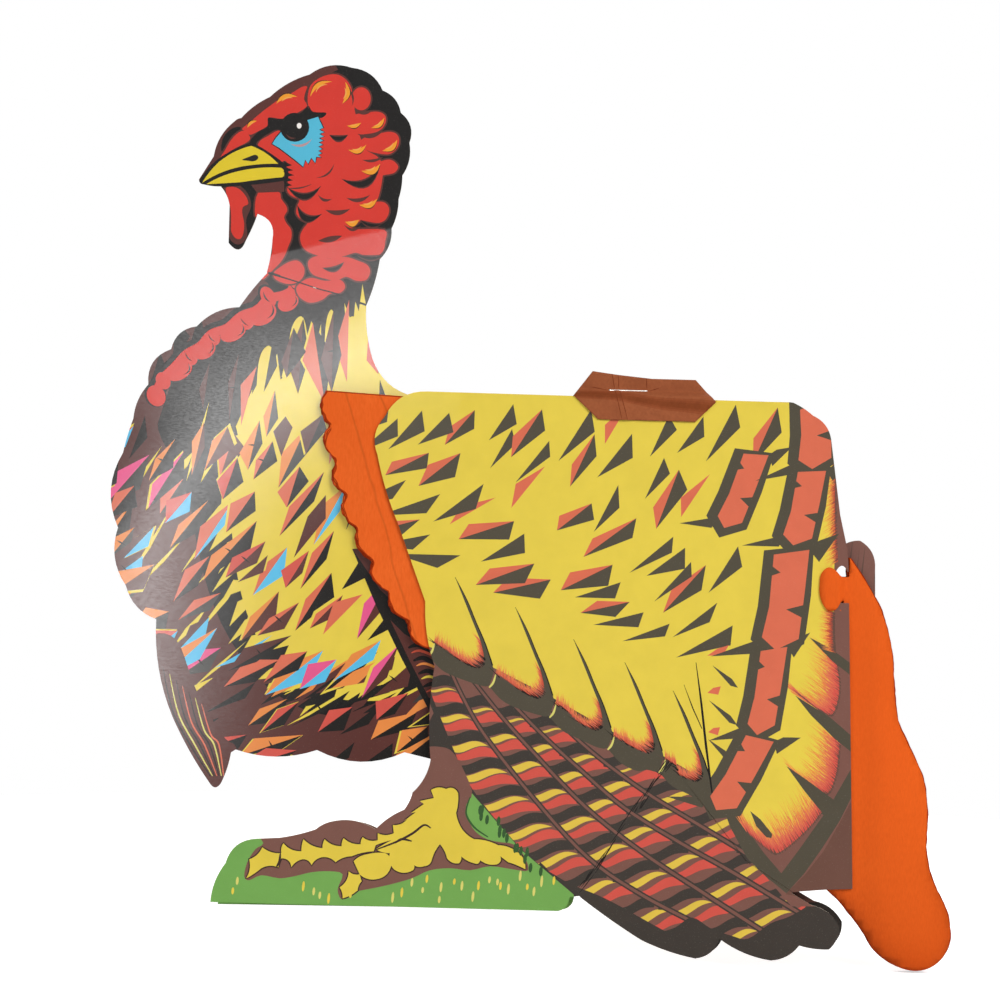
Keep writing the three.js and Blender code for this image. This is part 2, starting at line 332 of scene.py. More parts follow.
def outset(loop, by):
    made = []
    sign = 1 if area(loop) > 0 else -1
    for i, p in enumerate(loop):
        along = Vector(loop[(i + 1) % len(loop)]) - Vector(loop[i - 1])
        made.append(tuple(Vector(p) + Vector((along.y, -along.x)).normalized() * by * sign))
    return made


def aimed(lean, foot):
    # lean is a direction, or a point to aim at
    return (lean - foot if lean.length > 2 else lean).normalized()


def hatch(job, draw, path, lean, reach, count, names):
    # fine tapering strokes that start on a path
    for i in range(count):
        t = (i + draw.random()) / count * (len(path) - 1)
        k = min(int(t), len(path) - 2)
        foot = Vector(path[k]).lerp(Vector(path[k + 1]), t - k)
        aim = aimed(Vector(lean), foot)
        aim.rotate(Matrix.Rotation(draw.uniform(-0.16, 0.16), 2))
        aside = Vector((-aim.y, aim.x)) * draw.uniform(0.3, 0.62)
        back = foot - aim * 2
        tip = foot + aim * draw.uniform(*reach)
        job.append((draw.choice(names), [tuple(back + aside), tuple(back - aside), tuple(tip)]))


def shadeRim(job, draw, rim, lean, bands):
    # bands of ink inside a feather's rim, each deepest in its middle, its inner edge brushed out
    for name, deep, reach, count in bands:
        inside = []
        for i, p in enumerate(rim):
            swell = 0.25 + 0.75 * math.sin(math.pi * (i + 0.5) / len(rim))
            inside.append(tuple(Vector(p) + aimed(Vector(lean), Vector(p)) * deep * swell))
        job.append((name, list(rim) + inside[::-1]))
        hatch(job, draw, inside, lean, reach, count, [name])


def claims(taken, axis, gap):
    # takes a row of points if all keep their distance from the points taken before
    squares = [(int(p.x // gap), int(p.y // gap)) for p in axis]
    for p, (i, j) in zip(axis, squares):
        for a in (i - 1, i, i + 1):
            for b in (j - 1, j, j + 1):
                if any((p - q).length < gap for q in taken.get((a, b), ())):
                    return False
    for p, square in zip(axis, squares):
        taken.setdefault(square, []).append(p)
    return True


# Head: red caruncles on black, yellow bill, blue eye patch
def headPrint():
    red = [
        [(219, 160), (225, 150), (231, 140), (238, 133), (244, 131), (248, 134), (250, 139), (246, 143),
         (238, 147), (229, 152)],
        [(242, 129), (249, 123), (262, 112), (270, 106), (280, 99), (292, 93), (302, 87), (307, 87),
         (305, 93), (304, 100), (307, 106), (299, 112), (289, 117), (281, 119), (274, 118), (269, 118),
         (270, 123), (266, 127), (257, 132), (250, 135), (246, 132)],
        [(312, 113), (308, 105), (307, 95), (311, 85), (318, 79), (328, 75), (338, 75), (346, 80),
         (351, 88), (352, 97), (353, 112), (330, 120)],
        [(258, 147), (260, 141), (268, 136), (277, 131), (280, 133), (274, 144), (280, 147), (291, 155),
         (302, 166), (292, 168), (285, 161), (280, 163), (275, 158), (267, 152)],
        [(312, 112), (325, 113), (340, 105), (352, 105), (356, 118), (358, 130), (361, 140), (366, 150),
         (376, 156), (381, 162), (383, 170), (382, 180), (380, 191), (377, 200), (371, 205), (364, 212),
         (360, 221), (353, 229), (384, 230), (385, 242), (383, 251), (377, 256), (367, 257), (356, 253),
         (345, 256), (332, 259), (318, 256), (306, 251), (301, 244), (300, 236), (303, 229), (307, 223),
         (300, 219), (296, 213), (297, 206), (299, 200), (291, 196), (287, 191), (288, 185), (287, 178),
         (286, 170), (290, 160), (303, 160), (318, 150), (321, 130)],
        [(309, 260), (318, 256), (330, 259), (345, 257), (358, 261), (367, 265), (370, 272), (366, 280),
         (356, 281), (346, 277), (336, 281), (325, 279), (313, 275), (308, 267)],
        [(279, 268), (289, 262), (298, 261), (304, 268), (303, 277), (296, 283), (286, 284), (276, 280),
         (273, 274)],
        [(299, 284), (310, 278), (325, 281), (340, 280), (345, 287), (340, 293), (330, 294), (322, 300),
         (310, 303), (300, 298), (296, 290)],
        disc(361, 99, 9.5, 11.5),
        [(352, 117), (365, 113), (378, 112), (385, 116), (385, 124), (379, 131), (368, 134), (356, 133)],
        [(361, 140), (375, 135), (388, 132), (396, 134), (399, 140), (397, 148), (390, 154), (380, 154),
         (366, 150)],
        [(378, 164), (386, 160), (393, 161), (398, 167), (394, 173), (385, 175), (380, 175)],
        [(362, 206), (375, 202), (385, 203), (389, 210), (386, 219), (379, 223), (368, 222), (358, 219)],
        [(258, 193), (278, 192), (281, 199), (286, 206), (287, 211), (284, 217), (286, 223), (291, 230),
         (291, 239), (288, 247), (285, 255), (280, 263), (273, 270), (262, 280), (262, 265), (271, 256),
         (272, 243), (271, 231), (268, 222), (262, 216), (255, 216)],
        [(226, 188), (233, 187), (240, 190), (246, 197), (248, 204), (243, 207), (242, 213), (244, 224),
         (243, 234), (240, 239), (235, 238), (231, 231), (231, 219), (230, 207), (227, 197)],
    ]
    job = [
        ("maroon", [(190, 190), (203, 160), (212, 138), (228, 116), (252, 96), (285, 76), (310, 68),
                    (332, 60), (338, 70), (322, 77), (312, 86), (306, 96), (285, 112), (256, 136),
                    (228, 158), (208, 182)]),
        ("black", rounded([(221, 150), (223, 138), (230, 130), (238, 127), (245, 130), (236, 135),
                           (230, 143), (225, 153)])),
        ("maroon", rounded([(223, 186), (236, 184), (247, 193), (251, 206), (246, 220), (247, 236),
                            (241, 244), (233, 243), (228, 233), (229, 210)])),
    ]
    job += [("maroon", outset(rounded(shape, 4), 1.7)) for shape in red]
    job += [("red", rounded(shape, 4)) for shape in red]
    job += [
        ("maroon", [(250, 184), (284, 181), (284, 192), (257, 193)]),
        # the dark line of the brow and lores, the eye patch with its ragged back edge, and the eye
        ("black", rounded([(268, 118), (276, 119), (290, 118), (302, 112), (308, 106), (313, 112),
                           (326, 113), (322, 118), (312, 120), (309, 128), (298, 138), (284, 132),
                           (276, 130), (266, 135), (254, 144), (250, 141), (258, 132), (267, 127)], 4)),
    ]
    rag = [(323, 128)]
    for i in range(7):
        y = 130 + i * 4.2
        rag += [(319 - i * 0.2, y), (324 - i * 0.5, y + 2.4)]
    rag += [(316, 157), (315, 163), (311, 158), (308, 164), (305, 160), (303, 167)]
    patch = [(272, 144), (276, 138), (282, 131), (290, 126), (305, 121), (318, 117), (320, 122), *rag,
             (296, 161), (287, 154), (279, 148)]
    job += [
        ("black", outset(patch, 1.1)),
        ("sky", patch),
        ("black", disc(294.5, 127.5, 14.5)),
        ("maroon", crescent((286, 134), (296, 138), 3, 1.4)),
        ("glint", disc(299, 126, 2.4, 2.8)),
        ("blush", crescent((290, 144), (312, 139), 5.5, 3)),
        # bill: black edge, two yellow halves and the nostril
        ("black", rounded([(198, 184), (206, 171), (217, 160), (231, 151), (244, 145), (251, 143),
                           (258, 146), (268, 152), (278, 159), (285, 165), (288, 171), (288, 178),
                           (283, 181), (262, 184), (240, 186), (218, 188), (205, 187)], 4)),
        ("beak", bowed([(202, 183), (219, 162, -1), (251, 146, -2), (278, 164, -2), (240, 167, 1),
                        (202, 183, 2)])),
        ("beak", bowed([(206, 184.5), (240, 171, -1.6), (281, 168, -1.5), (284, 175, -1.4),
                        (282, 177.5, -0.5), (240, 182.5, 0.4)])),
        ("coal", rounded([(242, 160), (249, 157), (255, 155), (258, 157), (257, 160), (253, 161.5),
                          (248, 161)])),
    ]
    for i in range(5):
        y = 161 + i * 5
        job.append(("black", [(283, y), (294 - abs(2 - i), y + 4.5), (286, y + 6)]))
    shadows = [
        ((287, 187), (321, 186), 13, 8, "black"), ((329, 135), (348, 135), 6, 2, "black"),
        ((355, 111), (372, 111), 4, 1, "maroon"), ((357, 134), (383, 131), 6, 2.5, "maroon"),
        ((316, 178), (334, 164), 5, 3, "maroon"), ((341, 179), (380, 166), 15, 9, "black"),
        ((346, 198), (370, 195), 6, 2, "maroon"), ((325, 210), (350, 209), 6, 1, "maroon"),
        ((318, 195), (332, 199), 5, 2, "maroon"), ((297, 205), (322, 214), 13, 7, "black"),
        ((318, 241), (342, 236), 4, -2, "maroon"), ((344, 225), (361, 226), 6, 3, "maroon"),
        ((360, 220), (382, 224), 5, 2, "black"), ((362, 160), (383, 157), 4, 1, "maroon"),
        ((309, 110), (310, 86), -4, -2, "maroon"), ((352, 106), (347, 88), 4, 2, "maroon"),
        ((286, 188), (312, 184), 3, 1.5, "maroon"), ((355, 254), (386, 254), 6, 3, "black"),
        ((322, 268), (344, 262), 6, 3, "black"),
    ]
    for a, b, out, back, name in shadows:
        if name == "black":
            job.append(("maroon", crescent(a, b, out + 1.6, back - 1.6)))
        job.append((name, crescent(a, b, out, back)))
    lights = [
        ((332, 82), (310, 97), 7, 4),
        ((342, 104), (345, 82), 6, 2.5),
        ((297, 97), (276, 104), 6, 2.5),
        ((257, 121), (247, 128), 3, 1),
        ((347, 126), (361, 123), 3.4, 0.6),
        ((371, 128), (384, 118), 4.5, 1.5),
        ((348, 150), (366, 145), 6, 2.5),
        ((382, 151), (397, 140), 5.5, 1.5),
        ((361, 171), (380, 164), 7, 2.5),
        ((359, 205), (377, 199), 6, 2),
        ((345, 222), (359, 220), 5.5, 1),
    ]
    for a, b, out, back in lights:
        core = Vector(a).lerp(Vector(b), 0.2), Vector(a).lerp(Vector(b), 0.75)
        job += [
            ("black", crescent(a, b, out + 1.3, out - 1)),
            ("amber", crescent(a, b, out + 0.4, back - 0.6)),
            ("flame", crescent(*core, (out + back) * 0.36, back * 0.6)),
        ]
    # painted shade along the neck crease: a dark line and short dark marks, and one bare fleck of worn ink
    crease = [(268, 273), (284, 278), (300, 283), (318, 289), (333, 293), (346, 298), (368, 306)]
    job.append(("black", stroke(swept(crease), 2, 2.2, 1.2)))
    paintedShade = [((270, 273), (280, 276)), ((336, 294), (349, 299)), ((356, 302), (368, 306))]
    job += [("black", stroke(run, 2.2, 1.2)) for run in paintedShade]
    job.append(("bare", stroke([(313, 287.4), (316, 288.4)], 0.7, 0.5)))
    return job


# Breast: caruncles down the neck, a dark border, then loose angular feathers that open into yellow
breastLook = {"seed": 21, "tries": 5000, "gap": 9.2, "long": (40, 84), "half": (6, 16),
              "area": (102, 336, 446, 774)}


def shard(job, draw, x, y, turn, long, pair, rim):
    # a lozenge along the lie of the feathers, its upper and lower half in different inks; a rim is a
    # sliver of yellow that shows along one side
    up, down = (draw.uniform(*breastLook["half"]) for i in range(2))
    bulge = draw.uniform(-0.25, 0.15), draw.uniform(-0.1, 0.3)
    slip = Vector((draw.uniform(-3, 3), draw.uniform(-2.6, 2.6)))
    corners = [(-long / 2, 0), (long * bulge[0], -up), (long / 2, 0), (long * bulge[1], down)]
    tail, top, tip, low = turned(corners, x, y, -turn)
    upper, lower = pair
    if rim:
        whole = [tail, top if upper else tip, tip, low if lower else tail]
        job.append(("yellow", [tuple(Vector(p) * 1.04 - Vector((x, y)) * 0.04 + slip) for p in whole]))
    if upper:
        job.append((upper, [tail, top, tip]))
    if lower:
        job.append((lower, [tail, tip, low]))


def breastPrint():
    draw = random.Random(breastLook["seed"])
    job = [("maroon", rounded([(262, 280), (236, 306), (196, 308), (160, 330), (138, 365), (122, 400),
                               (108, 440), (100, 520), (106, 580), (130, 625), (146, 660), (160, 730),
                               (205, 800), (245, 790), (250, 775), (440, 780), (440, 690), (400, 694),
                               (330, 716), (270, 690), (230, 640), (208, 590), (196, 540), (188, 500),
                               (172, 460), (158, 430), (160, 405), (170, 385), (190, 365), (214, 345),
                               (244, 330), (262, 316), (272, 298)], 3))]
    edge = swept([(362, 330), (352, 344), (330, 354), (302, 366), (272, 386), (248, 412), (238, 440),
                  (232, 470), (230, 505), (233, 545), (239, 585), (250, 622), (268, 656), (300, 684),
                  (345, 700), (395, 700)], 4)
    job.append(("yellow", edge + [(436, 690), (470, 690), (470, 380), (400, 380), (376, 352), (369, 330)]))

    def heading(x, y):
        # the feathers stand upright at the neck and lie over towards the keel
        return math.radians(88 - (y - 330) * 0.15 - (250 - x) * 0.08 + draw.uniform(-11, 11))

    def depthOf(x, y):
        # how far a place lies inside the yellow
        return x - min(edge, key=lambda p: abs(p[1] - y))[0]

    # flames along the upper edge, streaks along the lower left one
    for x, y in edge[:-6:2]:
        turn = heading(x, y)
        falls = y > 430
        long = draw.uniform(24, 48) if falls else draw.uniform(40, 70)
        way = turn + (math.pi if falls else 0)
        middle = (x + math.cos(way) * long * 0.25, y - math.sin(way) * long * 0.25)
        job.append(("yellow", kite(*middle, way, long, draw.uniform(4, 9), -0.2, 0.9)))
    for x, y, wide, long in ((300, 356, 11, 74), (268, 378, 10, 60), (331, 345, 6, 66), (352, 340, 9, 44)):
        job.append(("yellow", rounded([(x - wide, y + long / 2), (x - wide, y - long * 0.2),
                                       (x - wide / 3, y - long / 2), (x + wide / 2, y - long * 0.42),
                                       (x + wide, y + long / 2)], 4)))
    # streaks of yellow run out over the dark side
    for i in range(20):
        x, y = draw.uniform(118, 260), draw.uniform(424, 700)
        turn, long, wide = heading(x, y), draw.uniform(36, 84), draw.uniform(2, 5)
        if -95 < depthOf(x, y) < 0:
            job.append(("yellow", kite(x, y, turn, long, wide, draw.uniform(-0.2, 0.2), 0.6)))
    # its lower edge breaks up into dark and yellow wedges
    for i in range(30):
        x = 262 + 172 * (i + draw.random()) / 30
        y = 690 + draw.uniform(-20, 18) - max(0, 330 - x) * 0.3
        name = ("coal", "maroon", "yellow", "coal", "orange", "maroon")[i % 6]
        job.append((name, kite(x, y, math.radians(draw.uniform(24, 44)), draw.uniform(44, 76),
                               draw.uniform(6, 13), draw.uniform(-0.1, 0.3), 0.3)))
    # loose feathers, thrown where there is room; their inks follow how far they lie from the ragged edge
    uppers = ["salmon", "salmon", "salmon", "bar", "orange", "orange", "maroon", "pink", None]
    lowers = ["coal", "coal", "maroon", "maroon", "cyan", "cyan", "slate"]
    taken = {}
    left, top, right, bottom = breastLook["area"]
    for i in range(breastLook["tries"]):
        x, y = draw.uniform(left, right), draw.uniform(top, bottom)
        turn, long = heading(x, y), draw.uniform(*breastLook["long"])
        pair, chance = (draw.choice(uppers), draw.choice(lowers)), draw.random()
        plain = draw.choice(("coal", "coal", "maroon", "slate"))
        along = Vector((math.cos(turn), -math.sin(turn))) * long / 2
        axis = [Vector((x, y)) + along * t for t in (-0.9, -0.45, 0, 0.45, 0.9)]
        if not claims(taken, axis, breastLook["gap"]):
            continue
        depth = depthOf(x, y)
        if depth > 0 and y < 430 and chance < 0.3:
            continue
        if depth > 0 and y < 590 and chance < 0.8:
            pair = tuple({"pink": "salmon", "cyan": plain}.get(name, name) for name in pair)
        rim = chance > (0.8 if depth < 0 else 0.5)
        if y > 690:
            upper = draw.choice(("orange", "bar", None, None, "yellow"))
            pair = upper, draw.choice(("coal", "coal", "coal", None))
            rim = chance < 0.3
        elif y < 440 and depth < 0:
            pair = "salmon", None
            if depth < -25 or chance < 0.6:
                pair = "maroon" if chance < 0.5 else None, "coal"
            rim = False
        elif depth > 95 and chance < 0.85:
            pair = (None, plain) if chance < 0.55 else ("salmon", draw.choice((None, plain)))
            rim = False
        shard(job, draw, x, y, turn, long, pair, rim)
        if chance < 0.2:
            job.append(("coal", kite(x, y, turn - 1.4, 12, 0.9, 0, 1)))
    # dark hollow behind the last breast feathers, with the ends of the hidden quills; its coal part is partly
    # painted shadow of the tissue
    job += [
        ("maroon", [(352, 549), (378, 596), (404, 650), (434, 712), (436, 745), (450, 745), (450, 545)]),
        ("coal", [(352, 549), (380, 590), (402, 610), (440, 632), (446, 664), (428, 648), (404, 634),
                  (390, 620), (410, 662), (438, 716), (436, 724), (402, 660), (376, 606)]),
    ]
    for i in range(6):
        x, y = 408 + i * 5, 648 + i * 13
        quill = swept([(x, y), (x + 10, y - 3), (x + 22, y + 3), (x + 40, y + 8)])
        gleam = swept([(x + 3, y + 5), (x + 13, y + 3), (x + 34, y + 12)])
        name = ("rust", "orange", "yellow")[i % 3]
        job += [("black", stroke(quill, 1.5, 2, 5)), (name, stroke(gleam, 0.6, 1.6, 2.6))]
    # tail stub
    job.append(("brown", [(820, 520), (900, 520), (900, 760), (820, 760)]))
    for i in range(26):
        x = 838 + i * 1.7
        job.append(("umber", kite(x, draw.uniform(560, 680), 1.45, draw.uniform(30, 80), 0.9, 0, 1)))
    # striped tip of the hidden wing, low at the left
    job.append(("maroon", rounded([(150, 640), (176, 640), (196, 690), (222, 735), (236, 748), (232, 775),
                                   (214, 800), (180, 760), (155, 700)])))
    for i in range(7):
        lean = i * 6.4
        run = swept([(163 + lean, 668 + i * 6), (172 + lean, 710 + i * 4), (190 + lean * 0.75, 745),
                     (210 + lean * 0.35, 776)])
        name = ("coal", "straw", "coal", "salmon", "coal", "straw", "salmon")[i]
        job.append((name, stroke(run, 0.5, 0.8, 1.7)))
    # caruncles down the neck: one red chain with lobes on its lower side and dark hooks between them
    chain = swept([(155, 394), (162, 379), (174, 367), (186, 354), (200, 346), (211, 334), (227, 328),
                   (241, 316), (257, 310), (268, 299), (284, 295), (300, 286)], 4)
    lobes = [(156, 396, 9, 11), (179, 371, 14, 9), (204, 350, 12, 9), (233, 332, 14, 9), (262, 314, 15, 11),
             (288, 303, 11, 8), (309, 292, 12, 8)]
    buds = [(163, 381, 7, 9), (190, 357, 7, 9), (213, 338, 7, 8), (246, 322, 8, 8), (268, 297, 7, 11),
            (296, 288, 9, 7)]
    job.append(("black", stroke(chain, 19, 20)))
    for grown, name in ((1.6, "black"), (0, "red")):
        for x, y, across, down in lobes + buds:
            job.append((name, disc(x - grown / 2, y - grown / 2, across + grown, down + grown, -0.5)))
    job.append(("red", stroke(chain, 8, 9)))
    for x, y, across, down in lobes[1:-1]:
        a, b = (x + across * 0.62, y - down * 0.9), (x + across * 0.3, y + down * 0.45)
        job.append(("black", crescent(a, b, -across * 0.34, -across * 0.22)))
    for x, y, across, down in buds[1:]:
        a, b = (x - across * 0.7, y - down * 0.5), (x + across * 0.3, y + down * 0.5)
        job.append(("black", crescent(a, b, down * 0.22, down * 0.08)))
    return job


# Wing: yellow with dark flecks, a row of coverts, barred quills, framed rear feathers, leg and grass
wingLook = {"seed": 8, "tries": 3500, "fleckArea": (366, 402, 826, 668), "fleckLong": (42, 68),
            "fleckWide": (10, 17), "fleckGap": 12.5, "barStep": 28}
# shading inside a feather's rim: ink, depth, reach of its strokes and their number
shades = {
    "covert": [("orange", 5, (4, 14), 130), ("salmon", 5, (3, 10), 120), ("rust", 2, (2, 7), 70)],
    "end": [("orange", 9, (10, 38), 220), ("salmon", 7, (6, 26), 200), ("bar", 4, (4, 15), 140),
            ("umber", 0.6, (2, 9), 60)],
    "side": [("orange", 3, (5, 15), 170), ("rust", 2, (3, 9), 130), ("umber", 1, (2, 6), 70)],
}
# the three inks of a bar: drop, thickness, the share of its width it spans, where it is thickest, its ends
barInks = [("soot", -9, 11, (0, 1), 0.5, (0.75, 0.75)), ("bar", 7.4, 10, (0.02, 0.99), 0.6, (0.4, 0.5)),
           ("corn", -0.4, 8.2, (0.02, 0.9), 0.36, (0.5, 0))]
quillRuns = [
    [(420, 655), (428, 690), (440, 722), (452, 752), (470, 790), (520, 851), (562, 882), (603, 900),
     (645, 923), (672, 938)],
    [(446, 660), (462, 695), (485, 735), (534, 798), (587, 856), (640, 893), (700, 925), (735, 948)],
    [(470, 676), (500, 714), (528, 746), (584, 805), (640, 850), (700, 890), (770, 935)],
    [(500, 690), (540, 732), (580, 769), (624, 807), (680, 842), (735, 873), (820, 925)],
    [(545, 708), (590, 750), (643, 790), (700, 825), (760, 862), (840, 915)],
    [(615, 742), (655, 768), (705, 796), (750, 824), (805, 876)],
]
# a run of salmon vanes down the rear edge of the wing, each in a dark frame, and one that lies apart
rearRun = {"spine": [(816, 396), (811, 455), (799, 530), (783, 606), (768, 676), (757, 742), (712, 810)],
           "vanes": [(84, 17), (80, 15), (104, 19), (92, 14), (88, 15)], "frame": 9, "shift": (-2.5, 1),
           "loose": (741, 490, 1.98, 84, 13)}
# a stiff feather with its ends cut aslant, the thorns of its frame and the nicks in it, in shares of its size
vaneShape = [(-0.5, -0.8), (-0.08, -0.92), (0.36, -1), (0.5, 0.1), (0.4, 0.92), (0.1, 0.8), (-0.4, 1)]
vaneThorns = [[(0.4, 0.8), (0.5, 1.8), (0.66, 3.4), (0.56, 1)],
              [(-0.5, -0.8), (-0.6, -1.2), (-0.7, -2.2), (-0.4, -1.4)]]
vaneNicks = [[(0.02, -1.1), (0.1, -0.1), (0.16, -1.1)], [(-0.3, 1.1), (-0.24, 0.5), (-0.18, 1.1)]]


def onVane(row, shape):
    x, y, turn, long, half = row
    return turned([(a * long, b * half) for a, b in shape], x, y, turn)


def vaneFrame(row):
    aside, down = rearRun["shift"]
    return [(x + aside, y + down) for x, y in outset(onVane(row, vaneShape), rearRun["frame"])]


def rearVanes():
    spine = [Vector(p) for p in swept(rearRun["spine"], 10)]
    placed = [rearRun["loose"]]
    reach = sum(long for long, half in rearRun["vanes"])
    start = reach
    for i in reversed(range(len(rearRun["vanes"]))):
        long, half = rearRun["vanes"][i]
        start -= long
        k = round((start + long / 2) / reach * (len(spine) - 1))
        along = spine[min(k + 2, len(spine) - 1)] - spine[k - 2]
        turn = math.atan2(along.y, along.x) + (0.08 if i % 2 else -0.05)
        placed.append((*spine[k], turn, long, half))
    return placed


def runAt(run, y):
    for a, b in zip(run, run[1:]):
        if y <= b[1]:
            return a[0] + (b[0] - a[0]) * (y - a[1]) / (b[1] - a[1])
    return run[-1][0]


def crossing(run, point, way):
    # where a line through a point meets a run, nearest to the point
    best = None
    for a, b in zip(run, run[1:]):
        along, off = Vector(b) - Vector(a), Vector(a) - point
        under = way.x * along.y - way.y * along.x
        if abs(under) < 1e-6:
            continue
        t = (off.x * along.y - off.y * along.x) / under
        s = (off.x * way.y - off.y * way.x) / under
        if 0 <= s <= 1 and (best is None or abs(t) < abs(best)):
            best = t
    return None if best is None else point + way * best


def barBand(job, strip, name, middle, tilt, thick, span, peak, ends):
    # one ink of a bar, from quill to quill: the share it spans, where it is thickest, how thick its ends are
    way = Vector((math.cos(tilt), -math.sin(tilt)))
    start, end = (crossing(run, middle, way) for run in strip)
    if start is None or end is None:
        return
    wave = 2.6 * min(1, (end - start).length / 48)
    top, bottom = [], []
    for i in range(13):
        t = i / 12
        s = span[0] + (span[1] - span[0]) * t
        here = start.lerp(end, s) + Vector((0, math.sin((s + 0.1) * math.tau) * wave))
        if t < peak:
            full = ends[0] + (1 - ends[0]) * math.sin(math.pi / 2 * t / peak)
        else:
            full = ends[1] + (1 - ends[1]) * math.cos(math.pi / 2 * (t - peak) / (1 - peak))
        top.append((here.x, here.y - thick / 2 * full))
        bottom.append((here.x, here.y + thick / 2 * full))
    job.append((name, top + bottom[::-1]))


def barredQuills(job):
    runs = [swept(run, 5) for run in quillRuns]
    job.append(("brown", [(405, 600), (405, 770), *runs[0][8:], (860, 980), (860, 905), (800, 886),
                          (735, 790), (690, 770), (600, 735), (500, 670)]))
    for k in range(5):
        lower, upper = runs[k], runs[k + 1]
        y = upper[0][1] + (30, 34, 30, 22, 26)[k]
        while y < 950:
            tilt = math.radians(19 * min(1, max(0, (y - 690) / 180)) - 4)
            strong = min(1, max(0.3, (y - upper[0][1] - 10) / 60))
            for name, drop, thick, span, peak, ends in barInks:
                at = y + drop
                thick *= strong if name == "corn" else 1
                middle = Vector(((runAt(lower, at) + runAt(upper, at)) / 2, at))
                barBand(job, (lower, upper), name, middle, tilt, thick, span, peak, ends)
            y += wingLook["barStep"]
    for run in runs[1:]:
        job += [("soot", stroke(run, 5, 6.4)), ("brown", stroke(run, 2.2, 3))]
    ends = [(562, 886), (603, 908), (634, 923), (656, 930), (674, 926), (691, 916), (710, 927),
            (730, 934), (747, 937), (769, 922), (788, 915), (806, 903), (796, 892), (850, 888),
            (870, 990), (540, 990), (536, 866)]
    job += [("soot", rounded(ends, 4)), ("soot", stroke(runs[0], 4, 7, 6))]


def creaseCracks(job, draw):
    # short cracks in the ink along the fold of the feather tips
    a, b = Vector((577, 893)), Vector((669, 760))
    aside = Vector((133, 92)).normalized()   # square to the fold
    for i in range(36):
        t = draw.random()
        long = draw.uniform(0.04, 0.16)
        shift = aside * draw.uniform(-4, 4) * (1 if i % 3 else 0.3)
        foot = a.lerp(b, t) + shift
        tip = a.lerp(b, min(1, t + long)) + shift + aside * draw.uniform(-1.5, 1.5)
        job.append(("coal", stroke([tuple(foot), tuple(foot.lerp(tip, 0.5)), tuple(tip)], 0.4, 0.3, 1.1)))


# the row of coverts: where they meet, and the edges of one from its two meeting points
covert = {"corners": [(428, 654), (489, 685), (549, 715), (607, 747), (658, 770), (706, 798)],
          "right": [(-34, -108), (-22, -85), (-13, -63), (-4, -42), (3.4, -20), (4.2, -12), (0, 0)],
          "inner": [(-8.5, -44), (-5.6, -31), (-5.8, -23), (-9, -19.5), (-15, -18.5), (-29, -25)],
          "outer": [(1, 2), (13, 15), (29, 23)]}


def covertRow(job, draw):
    corners = [Vector(p) for p in covert["corners"]]
    for b, c in zip(corners, corners[1:]):
        right = [c + Vector(p) for p in covert["right"]]
        inner = [c + Vector(p) for p in covert["inner"]] + [b + Vector((17, -5)), b + Vector((6, -11))]
        outer = [b + Vector(p) for p in covert["outer"]] + [c + Vector((-12, -1)), c + Vector((-3.5, 1))]
        rim = swept(inner, 5)
        shadeRim(job, draw, rim, c + Vector((-42, -90)), shades["covert"])
        job.append(("olive", swept(outer, 4) + swept(right[::-1], 4) + rim))
        hatch(job, draw, rim[6:36], (-0.8, -0.6), (4, 14), 40, ["umber", "coal"])
        gleam = swept([b + Vector(p) for p in ((0, 2), (4, -3), (6.5, -11))], 4)
        job += [("straw", stroke(gleam, 1.2, 0.8, 2.2)), ("coal", stroke(swept(right[:5], 4), 0.5, 1.4))]


def rearFeathers(job, draw):
    # lower rear feathers: yellow, shaded red and brown towards their ends, in a heavy dark outline
    job += [
        ("brown", [(833, 440), (833, 560), (832, 600), (832, 652), (836, 690), (824, 712), (836, 742),
                   (831, 772), (826, 794), (820, 812), (796, 842), (777, 856), (760, 870), (790, 905),
                   (870, 905), (870, 440)]),
        ("olive", [(722, 806), (729, 826), (746, 857), (762, 873), (785, 892), (803, 872), (820, 848),
                   (838, 820), (854, 788), (854, 760), (831, 800), (800, 790), (760, 772)]),
        ("bark", [(856, 788), (838, 822), (822, 850), (804, 873), (784, 893), (870, 905), (870, 770)]),
        ("brown", [(741, 821), (762, 851), (780, 872), (798, 848), (822, 814), (800, 800), (760, 800)]),
    ]
    feathers = [
        ([(766, 630), (808, 637), (832, 655), (837, 681), (836, 699), (831, 714), (820, 711), (796, 693),
          (766, 672)],
         [(834, 656), (838, 681), (837, 699), (831, 714), (820, 711), (797, 693)], (-0.7, -0.55)),
        ([(780, 680), (809, 714), (836, 739), (837, 756), (835, 773), (829, 790), (821, 793), (806, 783),
          (786, 768), (766, 740)],
         [(838, 743), (837, 757), (835, 773), (829, 790), (821, 793), (807, 784), (788, 768)], (-0.7, -0.6)),
        ([(785, 764), (803, 780), (821, 808), (811, 823), (794, 840), (777, 852), (766, 848), (744, 829),
          (740, 816), (766, 740)],
         [(821, 809), (812, 822), (794, 840), (777, 852), (766, 848), (745, 830)], (-0.45, -0.85)),
    ]
    for body, end, lean in feathers:
        job.append(("yellow", body))
        shadeRim(job, draw, swept(end, 7), lean, shades["end"])
    job += [
        ("olive", [(808, 637), (829, 648), (852, 665), (852, 677), (831, 661)]),
        ("olive", [(794, 695), (829, 717), (852, 737), (852, 753), (833, 738), (809, 714)]),
        ("olive", [(785, 765), (804, 778), (834, 800), (824, 816), (803, 790)]),
        ("olive", [(749, 810), (759, 818), (771, 833), (770, 837), (765, 836), (755, 825)]),
    ]
    for path, lean in (([(834, 446), (835, 562)], (-0.75, 0.5)), ([(832, 612), (833, 652)], (-0.75, -0.2))):
        rim = [tuple(Vector(path[0]).lerp(Vector(path[1]), i / 20)) for i in range(21)]
        shadeRim(job, draw, rim, lean, shades["side"])


